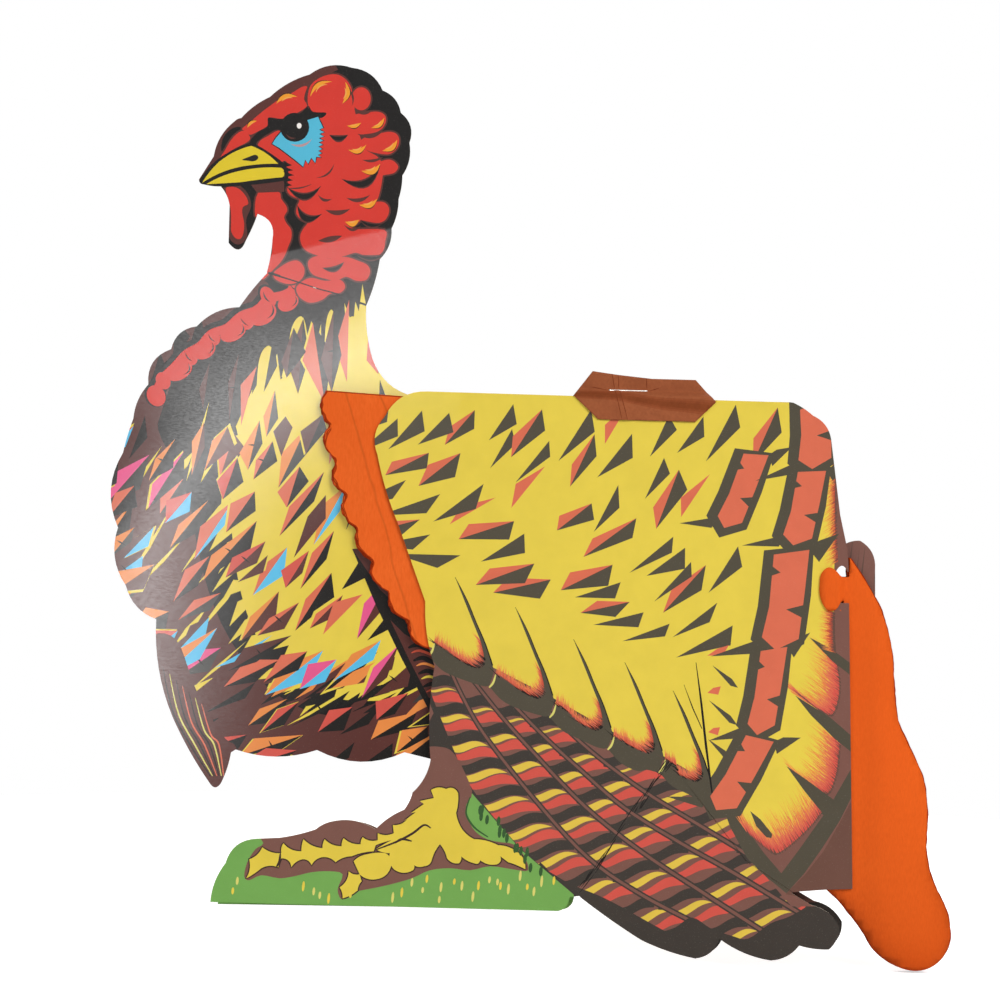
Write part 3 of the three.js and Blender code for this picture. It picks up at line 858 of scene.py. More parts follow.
def framedVanes(job):
    job += [("olive", vaneFrame(row)) for row in rearVanes()]
    for row in rearVanes():
        for name, shapes in (("olive", vaneThorns), ("salmon", [vaneShape]), ("olive", vaneNicks)):
            job += [(name, onVane(row, shape)) for shape in shapes]
    for x, y, long in ((724, 676, 34), (722, 712, 38), (718, 748, 30)):
        job.append(("olive", kite(x, y, -0.72, long, 3.4, 0.3, 0.8)))
    job += [
        ("coal", stroke([(695, 662), (700, 700), (705, 745), (711, 792)], 0.6, 1.6, 2.4)),
        ("coal", stroke([(683, 684), (692, 708), (701, 728)], 0.4, 0.8, 1.2)),
    ]


def legAndGrass(job, draw):
    job += [
        ("grass", [(195, 925), (195, 830), (300, 830), (430, 800), (468, 788), (520, 848), (573, 893),
                   (580, 925)]),
        ("soot", [(418, 724), (440, 716), (452, 752), (460, 772), (418, 760)]),
        ("brown", rounded([(264, 842), (262, 826), (330, 806), (400, 790), (416, 760), (420, 748),
                           (440, 746), (455, 754), (472, 790), (466, 804), (469, 820), (476, 831),
                           (487, 838), (500, 841), (513, 843), (523, 853), (528, 869), (512, 868),
                           (490, 865), (470, 869), (450, 867), (430, 869), (412, 877), (395, 882),
                           (378, 886), (362, 889), (350, 892), (342, 898), (338, 888), (343, 873),
                           (330, 870), (312, 871), (295, 875), (280, 877), (262, 874), (250, 879),
                           (245, 875), (248, 861), (256, 848)], 3)),
    ]
    toes = [
        [(431, 789), (446, 788, -2), (458, 792, -3), (456, 812, -1), (462, 828, 1), (474, 838, 1),
         (498, 844, -1.5), (516, 850, -1.5), (525, 868, -3), (508, 861, 0.5), (500, 855), (497, 863, -2),
         (480, 859, -2), (474, 862, -2), (461, 855, -1), (459, 862, -1), (447, 857, -2), (440, 843, 1),
         (432, 858, 1), (424, 865, -2), (412, 862, -2), (413, 869, -2), (394, 868, -3), (390, 852, -2),
         (376, 848, -1), (412, 830, -1), (398, 826, -1), (408, 818), (404, 820), (416, 811), (411, 812),
         (424, 803), (420, 800), (434, 797)],
        [(412, 834), (408, 818, 1), (393, 824, -2), (394, 832), (378, 832, -2), (378, 839),
         (363, 836, -2), (361, 843, 0.6), (344, 837, -2), (342, 845, 0.6), (325, 838, -2),
         (323, 847, 0.6), (304, 838, -2), (302, 850, 0.6), (284, 842, -2.5), (282, 852, 1),
         (263, 846, -2), (250, 858, -2), (247, 877, -2), (262, 867, 0.5), (279, 866, -2),
         (282, 857, -0.5), (292, 866, -3), (303, 858, -1.5), (312, 864, -2), (322, 856, -1.5),
         (336, 861, -2), (352, 855, -1.5), (374, 850, -1), (376, 844), (398, 838, -0.8)],
        [(354, 860), (368, 853, -1.5), (386, 852, -1), (391, 866, -3), (376, 878, -3), (360, 873, -2)],
        [(360, 873), (349, 870, -1.5), (340, 886, -2.5), (343, 897, -1), (358, 889, 1), (362, 880, -1)],
    ]
    job += [("crack", outset(bowed(rows), 1.3)) for rows in toes]
    job += [("foot", bowed(rows)) for rows in toes]
    wrinkles = [[(375, 849), (398, 840), (413, 832), (424, 824), (431, 827)],
                [(412, 840), (402, 838), (395, 842)], [(281, 852), (280, 860), (277, 866)]]
    job += [("crack", stroke(swept(run), 1, 1, 2.4)) for run in wrinkles]
    for i in range(40):
        x = 226 + 330 * (i + draw.random()) / 40
        y = draw.uniform(874, 899)
        if 240 < x < 300 or (330 < x < 400 and y < 890):
            continue
        job.append(("straw" if i % 3 else "yellow", disc(x, y, 1.4, draw.uniform(3, 6), 0.1, 10)))
    for i in range(16):
        t = (i + 0.5) / 16
        x, y = 474 + 62 * t + draw.uniform(-3, 8), 806 + 62 * t + draw.uniform(-4, 6)
        job.append(("leaf", disc(x, y, 1.9, 5, 0.1, 10)))
    job.append(("leaf", stroke(swept([(470, 796), (466, 812), (474, 826), (488, 836)]), 1, 1, 2)))


def wingFlecks(job, draw):
    # slender flecks thrown at random, kept only where they lie clear of those before and of the framed vanes
    left, top, right, bottom = wingLook["fleckArea"]
    taken = {}
    for row in rearVanes():
        for p in vaneFrame(row):
            square = int(p[0] // wingLook["fleckGap"]), int(p[1] // wingLook["fleckGap"])
            taken.setdefault(square, []).append(Vector(p))
    for i in range(wingLook["tries"]):
        x, y = draw.uniform(left, right), draw.uniform(top, bottom)
        edge = 545 + (x - 390) * 0.36
        turn = math.radians(5 + 46 * min(1, (edge - y) / 130) + (x - 380) * 0.04 + draw.uniform(-10, 10))
        long, wide = draw.uniform(*wingLook["fleckLong"]), draw.uniform(*wingLook["fleckWide"])
        belly, kind = draw.uniform(0.12, 0.34), draw.random()
        along = Vector((math.cos(turn), -math.sin(turn))) * long / 2
        behind = (x > 730 and y > 470) or x > 785 - max(0, y - 450) * 0.4
        if y > edge or behind or y + along.y < 396 + x * 0.01:
            continue
        axis = [Vector((x, y)) + along * t for t in (-1, -0.5, 0, 0.5, 1)]
        if not claims(taken, axis, wingLook["fleckGap"]):
            continue
        if kind < 0.38:
            job.append(("salmon", kite(x, y, turn, long, -wide * 0.7, -belly * 0.8, 0)))
        if kind > 0.1:
            job.append(("olive", kite(x, y, turn, long, wide, belly, 0)))
    for x, y, turn, long in ((717, 650, 0.45, 24), (713, 689, 0.45, 15), (713, 729, 0.4, 13)):
        job.append(("salmon", kite(x, y, turn, long, 6.5, 0.1, 0.3)))


def wingPrint():
    draw = random.Random(wingLook["seed"])
    job = []
    barredQuills(job)
    job.append(("yellow", [(360, 380), (860, 380), (860, 700), (740, 800), (706, 780), (662, 755),
                           (610, 730), (552, 697), (493, 667), (428, 646), (412, 600), (360, 500)]))
    wingFlecks(job, draw)
    covertRow(job, draw)
    rearFeathers(job, draw)
    framedVanes(job)
    legAndGrass(job, draw)
    creaseCracks(job, draw)
    return job


def cutLoops(nodeName, side, level=None):
    # outlines of a card's outer face, or of its face at a level, in mm; side -1 is the near face
    bm = bmesh.new()
    bm.from_mesh(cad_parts[nodeName].data)
    bmesh.ops.remove_doubles(bm, verts=bm.verts, dist=1e-7)
    flat = [f for f in bm.faces if f.normal.y * side > 0.9]
    reach = level * mm if level else max(f.calc_center_median().y * side for f in flat)
    face = {f for f in flat if abs(f.calc_center_median().y * side - reach) < 1e-5}
    rim = {e for e in bm.edges if sum(f in face for f in e.link_faces) == 1}
    loops = []
    while rim:
        edge = rim.pop()
        first, at = edge.verts
        loop = [first]
        while at is not first:
            loop.append(at)
            edge = next(e for e in at.link_edges if e in rim)
            rim.remove(edge)
            at = edge.other_vert(at)
        loops.append([(v.co.x / mm, v.co.z / mm) for v in loop])
    bm.free()
    return sorted(loops, key=lambda loop: -abs(area(loop)))


def area(loop):
    return sum(a[0] * b[1] - b[0] * a[1] for a, b in zip(loop, loop[1:] + loop[:1])) / 2


def within(loop, x, z):
    turns = np.zeros(len(x), int)
    for (ax, az), (bx, bz) in zip(loop, loop[1:] + loop[:1]):
        side = (bx - ax) * (z - az) - (x - ax) * (bz - az)
        turns += (az <= z) & (bz > z) & (side > 0)
        turns -= (az > z) & (bz <= z) & (side < 0)
    return turns != 0


offCard, baseOnly = -2, -1   # numbers for cells outside the card, and for cells with no ink on the base


def inked(fields, holes, job, points, edges):
    # triangles between the edges, and for each the number of the last ink laid over it
    verts, _, tris, _, _, _ = delaunay_2d_cdt(points, edges, [], 0, 1e-3, False)
    tris = list({frozenset(tri): tri for tri in tris if len(set(tri)) == 3}.values())
    middles = np.array([sum((verts[i] for i in tri), Vector((0, 0))) / 3 for tri in tris])
    x, z = middles[:, 0], middles[:, 1]
    ink = np.full(len(tris), offCard)

    def lay(loop, number):
        corner = np.array(loop)
        low, high = corner.min(axis=0), corner.max(axis=0)
        free = (ink > offCard) | (number == baseOnly)
        some = np.nonzero((x >= low[0]) & (x <= high[0]) & (z >= low[1]) & (z <= high[1]) & free)[0]
        some = some[within(loop, x[some], z[some])]
        ink[some] = number

    for loop in fields:
        lay(loop, baseOnly)
    for i, (name, loop) in enumerate(job):
        lay(loop, i)
    for loop in holes:
        lay(loop, offCard)
    return verts, tris, ink


def shownEdges(verts, tris, names):
    # the edges where the ink changes or the card ends, with no corners left along straight runs
    corner = np.array(tris)
    sides = np.sort(np.concatenate([corner[:, [0, 1]], corner[:, [1, 2]], corner[:, [2, 0]]]), axis=1)
    laid = np.tile(names, 3)
    order = np.lexsort((sides[:, 1], sides[:, 0]))
    sides, laid = sides[order], laid[order]
    alike = (sides[1:] == sides[:-1]).all(axis=1) & (laid[1:] == laid[:-1])
    inside = np.append(alike, False) | np.append(False, alike)
    near = {}
    for a, b in sides[~inside & (laid > offCard)].tolist():
        near.setdefault(a, set()).add(b)
        near.setdefault(b, set()).add(a)
    for i in list(near):
        if len(near[i]) == 2:
            a, b = near[i]
            along, off = verts[b] - verts[a], verts[i] - verts[a]
            straight = abs(along.x * off.y - along.y * off.x) < 0.002 * along.length
            if straight and b not in near[a] and 0 < off.dot(along) < along.length_squared:
                near[a] ^= {i, b}
                near[b] ^= {i, a}
                del near[i]
    number = {i: k for k, i in enumerate(near)}
    return [verts[i] for i in near], [(number[a], number[b]) for a in near for b in near[a] if a < b]


def cells(fields, holes, job, lines=(), crowded=False):
    # cuts the card along every ink edge; the last ink laid over a cell gives its colour. A crowded print is
    # cut once more, along the edges that show alone
    corners = np.array([p for loop in fields for p in loop])
    low, high = corners.min(axis=0), corners.max(axis=0)
    job = [(name, shape) for name, shape in job if (np.array(shape).max(axis=0) > low).all()
           and (np.array(shape).min(axis=0) < high).all()]
    points, edges = [], []
    for loop in [*fields, *holes, *(shape for name, shape in job)]:
        first = len(points)
        points += [Vector(p) for p in loop]
        edges += [(first + i, first + (i + 1) % len(loop)) for i in range(len(loop))]
    for a, b in lines:
        edges.append((len(points), len(points) + 1))
        points += [Vector(a), Vector(b)]
    verts, tris, ink = inked(fields, holes, job, points, edges)
    if crowded:
        numbers = {name: k for k, name in enumerate(inks)}
        names = np.array([numbers[job[i][0]] if i >= 0 else i for i in ink])
        verts, tris, ink = inked(fields, holes, job, *shownEdges(verts, tris, names))
    return verts, [(tri, job[i][0] if i >= 0 else None) for tri, i in zip(tris, ink) if i > offCard]


def layCells(bm, layer, verts, kept, place, baseInk=None):
    made = {}
    for tri, inkName in kept:
        for i in tri:
            if i not in made:
                made[i] = bm.verts.new(place(*verts[i]))
        face = bm.faces.new([made[i] for i in tri])
        for corner in face.loops:
            corner[layer] = inkColours[inkName or baseInk]


def faceOut(bm, side):
    bm.normal_update()
    bmesh.ops.reverse_faces(bm, faces=[f for f in bm.faces if f.normal.y * side < 0])


def sheetPiece(name, verts, kept, depth, side, baseInk, thickness, materials):
    # a sheet of cells; side -1 looks to -y. Solidify gives it its thickness inwards, and its cut edges the
    # last material
    bm = bmesh.new()
    layer = bm.loops.layers.float_color.new("ink")
    layCells(bm, layer, verts, kept, lambda x, z: (x * mm, depth(x, z) * mm, z * mm), baseInk)
    bmesh.ops.dissolve_degenerate(bm, edges=bm.edges, dist=0.001 * mm)
    faceOut(bm, side)
    piece = addObject(name, meshOf(name, bm, *materials))
    body = piece.modifiers.new("thickness", "SOLIDIFY")
    body.thickness = thickness * mm
    body.offset = -1
    body.use_even_offset = False
    body.material_offset_rim = len(materials) - 1
    return piece


def jobOnCard(job):
    return [(name, [onCard(p) for p in shape]) for name, shape in job]


# Cards: how thick, and how far the outer face of a wing and of the centre card lie from the middle
cards = {"thickness": 0.6, "wing": 3.6, "centre": 0.3}

# Centre card: breast and head are one printed board with a worn crease across the neck
neckCrease = {"rows": 4, "low": ((-87.951, 218.0), (-55.951, 208.0)),
              "high": ((-87.951, 218.5), (-55.951, 208.5)), "width": 0.475, "behind": -10}
breastLoops = cutLoops("breast_card", -1)
headLoops = cutLoops("head_card", -1)
low, high = neckCrease["low"], neckCrease["high"]
creaseStrip = [low[0], low[1], high[1], high[0]]
creaseLines = []
for i in range(1, neckCrease["rows"]):
    t = i / neckCrease["rows"]
    creaseLines.append([tuple(Vector(a).lerp(Vector(b), t)) for a, b in zip(low, high)])
verts, kept = cells([headLoops[0], breastLoops[0], creaseStrip], breastLoops[1:],
                    jobOnCard(breastPrint() + headPrint()), creaseLines)
upright = Vector((10, 32)).normalized()   # across the crease, towards the head
headCells, breastCells = [], []
for tri, inkName in kept:
    centre = sum((verts[i] for i in tri), Vector((0, 0))) / 3
    above = (centre - Vector(low[0])).dot(upright) > 0 and centre.x < neckCrease["behind"]
    (headCells if above else breastCells).append((tri, inkName))
breastCard = sheetPiece("breastCard", verts, breastCells, lambda x, z: -cards["centre"], -1, "black",
                        cards["thickness"], [breastInk, board])
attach(breastCard, "centre")
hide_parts("breast_card")
headCard = sheetPiece("headCard", verts, headCells, lambda x, z: -cards["centre"], -1, "black",
                      cards["thickness"], [breastInk, board])
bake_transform(headCard)
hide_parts("head_card")
print("centre card:", len(kept), "cells")

# Wings, each with its feather tips, cut along their fold: one print for both, the far card a little crooked
farCard = {"pivot": Vector((50.049, 181)), "turn": math.radians(0.6)}
tipFold = {"gap": [(45.049, 65), (17.049, 22), (17.349, 21.6), (45.049, 64.3)],
           "slit": [(45.049, 65), (45.049, 64.3), (57.249, 49.7), (69.749, 34.2), (84.849, 24.6),
                    (84.999, 24.9), (69.949, 34.4), (57.449, 49.9)],
           "rows": (0.33, 0.67), "width": 0.5}


def crooked(point):
    away = Vector(point) - farCard["pivot"]
    away.rotate(Matrix.Rotation(farCard["turn"], 2))
    return away + farCard["pivot"]


wingJob = jobOnCard(wingPrint())
wingLoops = cutLoops("near_wing_card", -1)
wingVerts, wingCells = cells(wingLoops[:1], wingLoops[1:], wingJob, crowded=True)
a, b, c, d = (Vector(p) for p in tipFold["gap"])
foldRows = [[tuple(a.lerp(d, t)), tuple(b.lerp(c, t))] for t in tipFold["rows"]]
tipVerts, tipCells = cells([*cutLoops("near_wing_tip", -1)[:1], tipFold["gap"], tipFold["slit"]], [],
                           wingJob, foldRows)
for half, side in halves:
    place = crooked if half == "far" else Vector
    wing = sheetPiece(half + "Wing", [place(p) for p in wingVerts], wingCells,
                      lambda x, z: cards["wing"] * side, side, "soot", cards["thickness"], [wingInk, board])
    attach(wing, half + "_wing")
    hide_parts(half + "_wing_card")
    tips = sheetPiece(half + "FeatherTips", [place(p) for p in tipVerts], tipCells,
                      lambda x, z: cards["wing"] * side, side, "soot", cards["thickness"], [wingInk, board])
    high, low = place(a), place(b)
    mid, run = (high + low) / 2, (low - high).normalized()
    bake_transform(tips)
    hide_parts(half + "_wing_tip")
print("wings:", len(wingCells), "cells, tips:", len(tipCells))

# Honeycomb tissue: thin sheets glued along lines that run down from the ridge
honeycomb = {"sheets": 14, "glueStep": 11, "thickness": 0.03, "reach": 0.985, "rim": 0.35,
             "body": {"inner": 0.36, "outer": 2.94, "wear": 1.1},
             "tail": {"inner": 0.06, "outer": 2.36, "wear": 0.2}}


def slack(share):
    # where a sheet rests between its two bodies so that the sheets fan out evenly
    return 0.5 - math.sin(math.asin(1 - 2 * min(max(share, 0), 1)) / 3)


def softened(loop, step, passes, free=None):
    # an outline walked in even steps and worn round, but not at sharp outer corners or outside its free part
    made, fast = [], []
    sign = 1 if area(loop) > 0 else -1
    for i, p in enumerate(loop):
        before, after = Vector(p) - Vector(loop[i - 1]), Vector(loop[(i + 1) % len(loop)]) - Vector(p)
        turn = sign * math.atan2(before.x * after.y - before.y * after.x, before.dot(after))
        count = max(1, round(after.length / step))
        made += [Vector(p) + after * k / count for k in range(count)]
        fast += [turn > 0.9] + [False] * (count - 1)
    if free:
        fast = [held or not free(*p) for held, p in zip(fast, made)]
    for i in range(passes):
        made = [p if held else (made[k - 1] + p * 2 + made[(k + 1) % len(made)]) / 4
                for k, (p, held) in enumerate(zip(made, fast))]
    return [tuple(p) for p in made]


def outerTail(x, z):
    return x > 103 or z < 27


def onSheet(k, side, stack, x, z):
    # a place on a sheet that is folded to and fro between its glue lines, a little crooked and worn
    fold = abs(((x / honeycomb["glueStep"] + k) % 2) - 1) - 0.5
    x += 0.4 * math.sin(k * 2.4) * math.sin(z * 0.16 + k * 1.3) + 0.3 * math.sin(z * 0.31 + k * 0.9)
    x += stack["wear"] * noise.noise((x * 0.3, z * 0.45, k * 0.5))
    share = (k + 0.5 + fold * honeycomb["reach"]) / honeycomb["sheets"]
    y = stack["inner"] + (stack["outer"] - stack["inner"]) * slack(share)
    return x * mm, y * side * mm, z * mm


def honeycombPad(name, side, loop, stack, nodes):
    step, inner, outer = honeycomb["glueStep"], stack["inner"], stack["outer"]
    (lowX, lowZ), (highX, highZ) = np.array(loop).min(axis=0), np.array(loop).max(axis=0)
    glue = [k * step for k in range(math.floor(lowX / step), math.ceil(highX / step))]
    # painted shade: each sheet is darker in a ring along its outline, where the stacked sheets shade one
    # another's edges
    rings = [("tissueEdgeShade", loop), ("plain", outset(loop, -honeycomb["rim"]))]
    verts, kept = cells([loop], [], rings, [[(x, lowZ - 1), (x, highZ + 1)] for x in glue])
    bm = bmesh.new()
    layer = bm.loops.layers.float_color.new("ink")
    for k in range(honeycomb["sheets"]):
        layCells(bm, layer, verts, kept, lambda x, z: onSheet(k, side, stack, x, z))
    faceOut(bm, side)
    pad = addObject(name, meshOf(name, bm, tissuePaper))
    body = pad.modifiers.new("thickness", "SOLIDIFY")
    body.thickness = honeycomb["thickness"] * mm
    body.offset = 0
    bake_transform(pad)
    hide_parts(*nodes)


for half, side in halves:
    for place in ("body", "tail"):
        loop = cutLoops(f"{half}_{place}_tissue_3", side)[0]
        loop = softened(loop, 0.8, 1) if place == "body" else softened(loop, 0.8, 30, outerTail)
        honeycombPad(f"{half}{place.title()}Honeycomb", side, loop, honeycomb[place],
                     [f"{half}_{place}_tissue_{i}" for i in (1, 2, 3)])
print("honeycomb pads:", honeycomb["sheets"], "sheets each")


def gridLines(loop, stepX, stepZ):
    (lowX, lowZ), (highX, highZ) = np.array(loop).min(axis=0), np.array(loop).max(axis=0)
    across = [[(x, lowZ - 1), (x, highZ + 1)] for x in np.arange(lowX + stepX / 2, highX, stepX)]
    return across + [[(lowX - 1, z), (highX + 1, z)] for z in np.arange(lowZ + stepZ / 2, highZ, stepZ)]


def ease(t):
    t = min(max(t, 0), 1)
    return t * t * (3 - 2 * t)


def offRun(a, b, point):
    # from the nearest place on a straight run to a point
    a, run = Vector(a), Vector(b) - Vector(a)
    t = min(max((point - a).dot(run) / max(run.length_squared, 1e-9), 0), 1)
    return point - a - run * t


def inFrom(loop, x, z):
    # distance from a point to the nearest edge of an outline
    return min(offRun(a, b, Vector((x, z))).length for a, b in zip(loop, loop[1:] + loop[:1]))


# Tail covers: smooth paper that swells a little over the tissue, its tab hooked over the wing's edge
tail = {"level": 2.7, "tab": 4.2, "hookAt": 99.4, "hookRun": 2.4, "hookLow": 114.9,
        "swell": 2.2, "margin": 12, "thickness": 0.3, "grid": 3,
        "neck": [(96.85, 118.2), (101.05, 118.2), (101.05, 125.8), (96.85, 125.8)]}
for half, side in halves:
    cover = softened(cutLoops(half + "_tail_cover", side, tail["level"])[0], 0.8, 30, outerTail)
    tab = softened(cutLoops(half + "_tail_cover", side, tail["tab"])[0], 0.4, 8, lambda x, z: x < 98)

    def coverDepth(x, z, cover=cover, side=side):
        y = tail["level"]
        if x < tail["hookAt"] and z > tail["hookLow"]:
            y += (tail["tab"] - tail["level"]) * ease((tail["hookAt"] - x) / tail["hookRun"])
        free = max(ease((x - 104) / 9), ease((20 - z) / 8) * ease((x - 100) / 6))
        if free > 0:
            y += tail["swell"] * free * math.sin(math.pi / 2 * min(1, inFrom(cover, x, z) / tail["margin"]))
        return y * side

    neckLines = [[(x, 117), (x, 127)] for x in (97.4, 98, 98.6, 99.2)]
    grid = gridLines(cover, tail["grid"], tail["grid"])
    verts, kept = cells([cover, tab, tail["neck"]], [], [], grid + neckLines)
    piece = sheetPiece(half + "TailCover", verts, kept, coverDepth, side, "plain", tail["thickness"],
                       [coverPaper])
    # painted shade: darker towards its lower end, most along the edge by the wing
    paintedTailShade = piece.data.color_attributes["ink"].data
    for corner in piece.data.loops:
        x, y, z = piece.data.vertices[corner.vertex_index].co / mm
        edge = math.exp(-inFrom(cover, x, z) / 2.5) * ease((45 - z) / 20) * (1 - 0.6 * ease((x - 112) / 14))
        shade = (1 - 0.12 * ease((70 - z) / 60)) * (1 - 0.42 * edge)
        paintedTailShade[corner.index].color = (shade, shade * (1 - 0.1 * edge), shade * (1 - 0.1 * edge), 1)
    piece.data.shade_smooth()
    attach(piece, half + "_wing")
    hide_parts(half + "_tail_cover")

# Hinge papers: one gummed strip a side, stapled above the ridge, folded over the wing's top edge and
# pasted down its face, with creases pulled in by the staple
hinge = {"thickness": 0.2, "top": 0.8, "fold": (184, 181.7), "face": 4.1,
         "creaseHigh": 0.22, "creaseWide": 0.9, "ripple": 0.14,
         "outline": [(11.05, 181.5), (17.05, 189.5), (25.05, 188.5), (36.05, 187.5), (50.05, 187.5),
                     (56.55, 180.5), (50.05, 174), (19.05, 174)],
         "bulge": [(8, 181.9), (22.9, 181.7), (29.6, 181), (38.6, 179.6), (45.4, 179.2), (52, 178.8),
                   (58, 178)],
         "creases": [((23.3, 188.7), (24.2, 184)), ((24.2, 184), (26.7, 174)), ((25.2, 188.5), (25.6, 184)),
                     ((25.6, 184), (28.5, 174)), ((34.3, 187.6), (34.5, 184.2)), ((17, 184.4), (21.8, 183.5)),
                     ((35.6, 183.6), (38.4, 184.6))]}


def hingeDepth(x, z, side):
    high, low = hinge["fold"]
    t = ease((high - z) / (high - low))
    y = hinge["top"] + (hinge["face"] - hinge["top"]) * t
    for a, b in hinge["creases"]:
        away = offRun(a, b, Vector((x, z))).length
        y += hinge["creaseHigh"] * math.exp(-(away / hinge["creaseWide"]) ** 2)
    y += hinge["ripple"] * t * math.sin(x * 0.55 + z * 0.4) * math.sin(z * 0.7)
    return y * side


for half, side in halves:
    foldLines = [[(0, z), (70, z)] for z in (183.8, 183.5, 183.2, 182.9, 182.6, 182.3, 182, 181.75)]
    hingeShade = []
    # painted shade of the fold: three bands along the bulge, darkest in the middle
    for name, wide in (("foldShadeFaint", 1), ("dusk", 0.7), ("dusky", 0.4)):
        hingeShade.append((name, stroke(swept(hinge["bulge"], 6), 2.4 * wide, 5.2 * wide)))
    # painted shade: darker lines along the creases
    hingeShade += [("hingeShade", stroke(swept([a, Vector(a).lerp(Vector(b), 0.5), b], 4), 0.14, 0.1, 0.24))
               for a, b in hinge["creases"]]
    verts, kept = cells([hinge["outline"]], [], hingeShade, gridLines(hinge["outline"], 0.5, 0.8) + foldLines)
    piece = sheetPiece(half + "HingePaper", verts, kept, lambda x, z: hingeDepth(x, z, side), side, "plain",
                       hinge["thickness"], [gummedPaper])
    piece.data.shade_smooth()
    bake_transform(piece)
    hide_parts(half + "_hinge_top", half + "_hinge_flap")

# Staple: round wire, crown on the near side, legs clinched on the far side
staple = {"middle": 28.549, "ridge": 183.5, "crown": 12.2, "wire": 0.25, "out": 1.35, "clinch": 3.2,
          "bend": 0.45}


def stapleRun():
    half, out, bend = staple["crown"] / 2, staple["out"], staple["bend"]
    rows = [(-half + staple["clinch"], out + 0.1), (-half, out), (-half, -out), (half, -out), (half, out),
            (half - staple["clinch"], out + 0.1)]
    run = [rows[0]]
    for before, corner, after in zip(rows, rows[1:], rows[2:]):
        corner = Vector(corner)
        a = corner + (Vector(before) - corner).normalized() * bend
        b = corner + (Vector(after) - corner).normalized() * bend
        run += bent(a, corner, b, 4) + [tuple(b)]
    return run + [rows[-1]]


curve = bpy.data.curves.new("stapleRun", "CURVE")
curve.dimensions = "3D"
curve.bevel_depth = staple["wire"] * mm
curve.bevel_resolution = 4
curve.use_fill_caps = True
run = stapleRun()
spline = curve.splines.new("POLY")
spline.points.add(len(run) - 1)
for point, (x, y) in zip(spline.points, run):
    point.co = ((staple["middle"] + x) * mm, y * mm, staple["ridge"] * mm, 1)
template = bpy.data.objects.new("stapleRun", curve)
mesh = bpy.data.meshes.new_from_object(template)
bpy.data.objects.remove(template)
mesh.name = "hingeStaple"
mesh.materials.clear()
mesh.materials.append(wire)
mesh.shade_smooth()
stapleWire = addObject("hingeStaple", mesh)
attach(stapleWire, "centre")
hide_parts("hinge_staple")
print("tail covers, hinge papers and staple made")

# Studio: white floor and surroundings, soft light, the camera level with the bird and rolled with it
studio = {"floor": 0.5, "floorTone": (0.9, 0.9, 0.9, 1), "floorGlow": 0.55, "world": 0.22,
          "aim": (0, 0, 0.15), "lampSize": 0.9, "camera": (-0.0115, -0.889, 0.1475), "lens": 100,
          "sensor": 36}


def seen(tree):
    # 1 for what the camera, gloss and glass show of the surroundings, 0 for the light that these give
    path = addNode(tree, "ShaderNodeLightPath")
    shine = addNode(tree, "ShaderNodeMath", None,
                    {0: path.outputs["Is Camera Ray"], 1: path.outputs["Is Glossy Ray"]}, operation="MAXIMUM")
    direct = addNode(tree, "ShaderNodeMath", None,
                     {0: shine.outputs[0], 1: path.outputs["Is Transmission Ray"]}, operation="MAXIMUM")
    return direct.outputs[0]


sweep, tree = emptyMaterial("white paper sweep")
plain = addNode(tree, "ShaderNodeBsdfDiffuse", {"Color": studio["floorTone"]})
bright = addNode(tree, "ShaderNodeEmission", {"Color": (1, 1, 1, 1), "Strength": studio["floorGlow"]})
both = addNode(tree, "ShaderNodeAddShader", None, {0: plain.outputs[0], 1: bright.outputs[0]})
shown = addNode(tree, "ShaderNodeMixShader", None, {0: seen(tree), 1: plain.outputs[0], 2: both.outputs[0]})
addNode(tree, "ShaderNodeOutputMaterial", None, {"Surface": shown.outputs[0]})
bm = bmesh.new()
bmesh.ops.create_circle(bm, cap_ends=True, segments=96, radius=studio["floor"])
floor = addObject("floor", meshOf("floor", bm, sweep))

world = bpy.data.worlds.new("white studio")
bpy.context.scene.world = world
world.use_nodes = True
tree = world.node_tree
tree.nodes.clear()
level = addNode(tree, "ShaderNodeMapRange", {"To Min": studio["world"], "To Max": 1}, {"Value": seen(tree)})
sky = addNode(tree, "ShaderNodeBackground", {"Color": (1, 1, 1, 1)}, {"Strength": level.outputs[0]})
addNode(tree, "ShaderNodeOutputWorld", None, {"Surface": sky.outputs[0]})

lamps = {
    "key": {"at": (0.8, -1.2, 1.1), "power": 21.5},
    "fill": {"at": (-1.1, -1.1, 0.8), "power": 6},
    "back": {"at": (0.4, 1.5, 1.1), "power": 20},
}
for name, lamp in lamps.items():
    light = bpy.data.lights.new(name, "AREA")
    light.size = studio["lampSize"]
    light.energy = lamp["power"]
    holder = addObject(name, light)
    holder.location = lamp["at"]
    holder.rotation_euler = (Vector(studio["aim"]) - Vector(lamp["at"])).to_track_quat("-Z", "Y").to_euler()
    holder.visible_camera = False

# A pale window beside the camera, seen only in gloss: it lies where the varnish of the breast mirrors it,
# ends in a straight edge across the neck, and is brightest along a slanting band
window = {"left": 50, "right": 460, "edge": ((389, 229), (270, 256)), "bottom": 800, "strength": 120,
          "ridge": [(400, 336), (335, 366), (232, 430), (208, 455), (184, 487), (155, 545), (136, 700)],
          "peak": 0.26, "outside": (66, 1.3), "rest": 0.09, "columns": 40, "rows": 50}


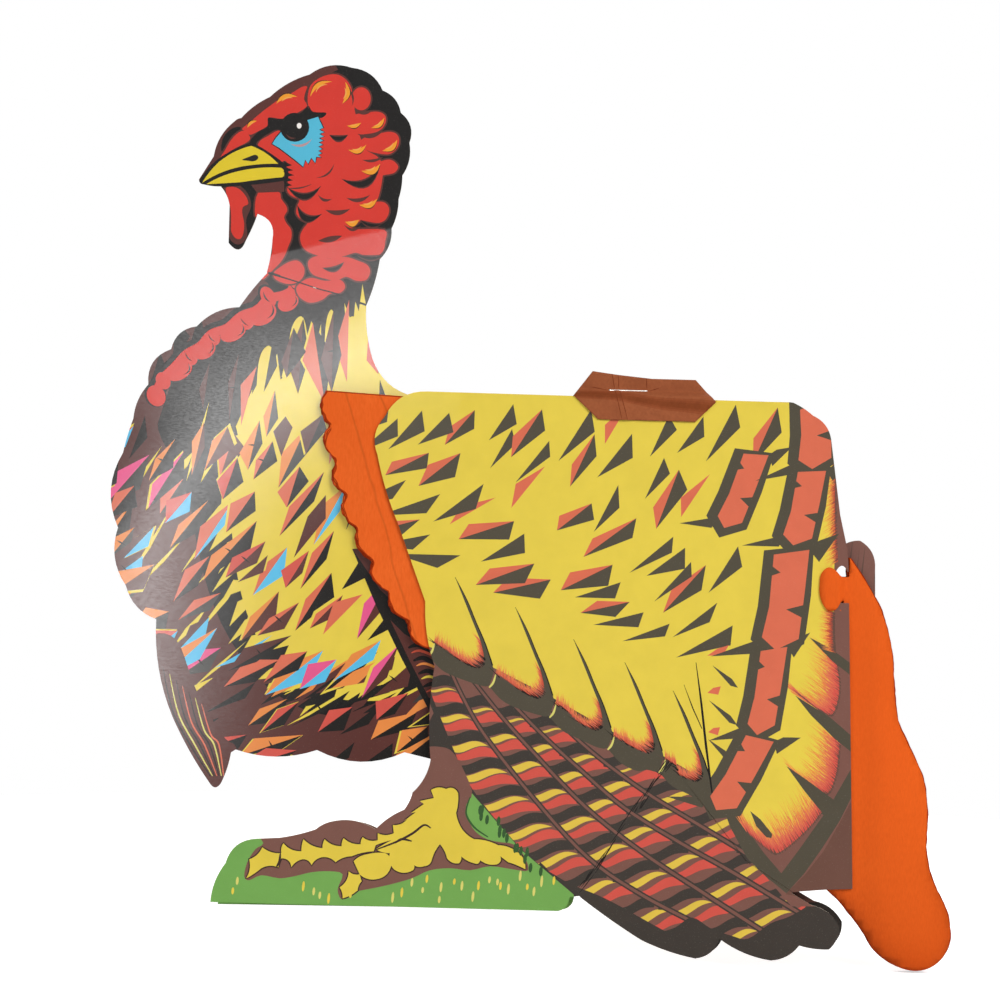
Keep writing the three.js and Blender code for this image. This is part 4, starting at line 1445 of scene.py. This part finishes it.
def windowGlow(x, y):
    # falls off to both sides of the ridge, faster to the lower right
    here, off = Vector((x, y)), 1000
    for a, b in zip(window["ridge"], window["ridge"][1:]):
        run, away = Vector(b) - Vector(a), offRun(a, b, here)
        if away.length < abs(off):
            off = math.copysign(away.length, away.dot(Vector((run.y, -run.x))))
    if off > 0:
        wide, power = window["outside"]
        return window["peak"] * math.exp(-(off / wide) ** power)
    low = ease((y - 370) / 80)
    rest = (window["rest"] - 0.035 * ease((190 - x) / 60)) * (1 - 0.5 * low)
    wide = (40 + 24 * ease((330 - x) / 90)) * (1 - low) + 42 * low
    return rest + (window["peak"] - rest) * math.exp(-(off / wide) ** 2)


bm = bmesh.new()
glowLayer = bm.verts.layers.float.new("glow")
bmesh.ops.create_grid(bm, x_segments=window["columns"], y_segments=window["rows"], size=1)
(edgeX, edgeY), (otherX, otherY) = window["edge"]
eye = studio["camera"]
for corner in bm.verts:
    x = window["left"] + (window["right"] - window["left"]) * (corner.co.x + 1) / 2
    top = edgeY + (otherY - edgeY) * (x - edgeX) / (otherX - edgeX)
    y = top + (window["bottom"] - top) * (1 - corner.co.y) / 2
    atX, atZ = onCard((x, y))
    corner.co = (2 * atX * mm - eye[0], eye[1], 2 * atZ * mm - eye[2])   # mirrored in the card
    corner[glowLayer] = windowGlow(x, y) * window["strength"]
glass, tree = emptyMaterial("window light")
strength = addNode(tree, "ShaderNodeAttribute", attribute_name="glow")
glow = addNode(tree, "ShaderNodeEmission", {"Color": (1, 1, 1, 1)}, {"Strength": strength.outputs["Fac"]})
addNode(tree, "ShaderNodeOutputMaterial", None, {"Surface": glow.outputs[0]})
pane = addObject("window", meshOf("window", bm, glass))
pane.visible_camera = False
pane.visible_diffuse = False
pane.visible_shadow = False

lens = bpy.data.cameras.new("camera")
lens.lens = studio["lens"]
lens.sensor_width = studio["sensor"]
camera = addObject("camera", lens)
camera.location = studio["camera"]
camera.rotation_euler = (math.radians(90), -sheet["turn"], 0)
bpy.context.scene.camera = camera
bpy.context.scene.view_settings.view_transform = "Standard"
print("studio ready")
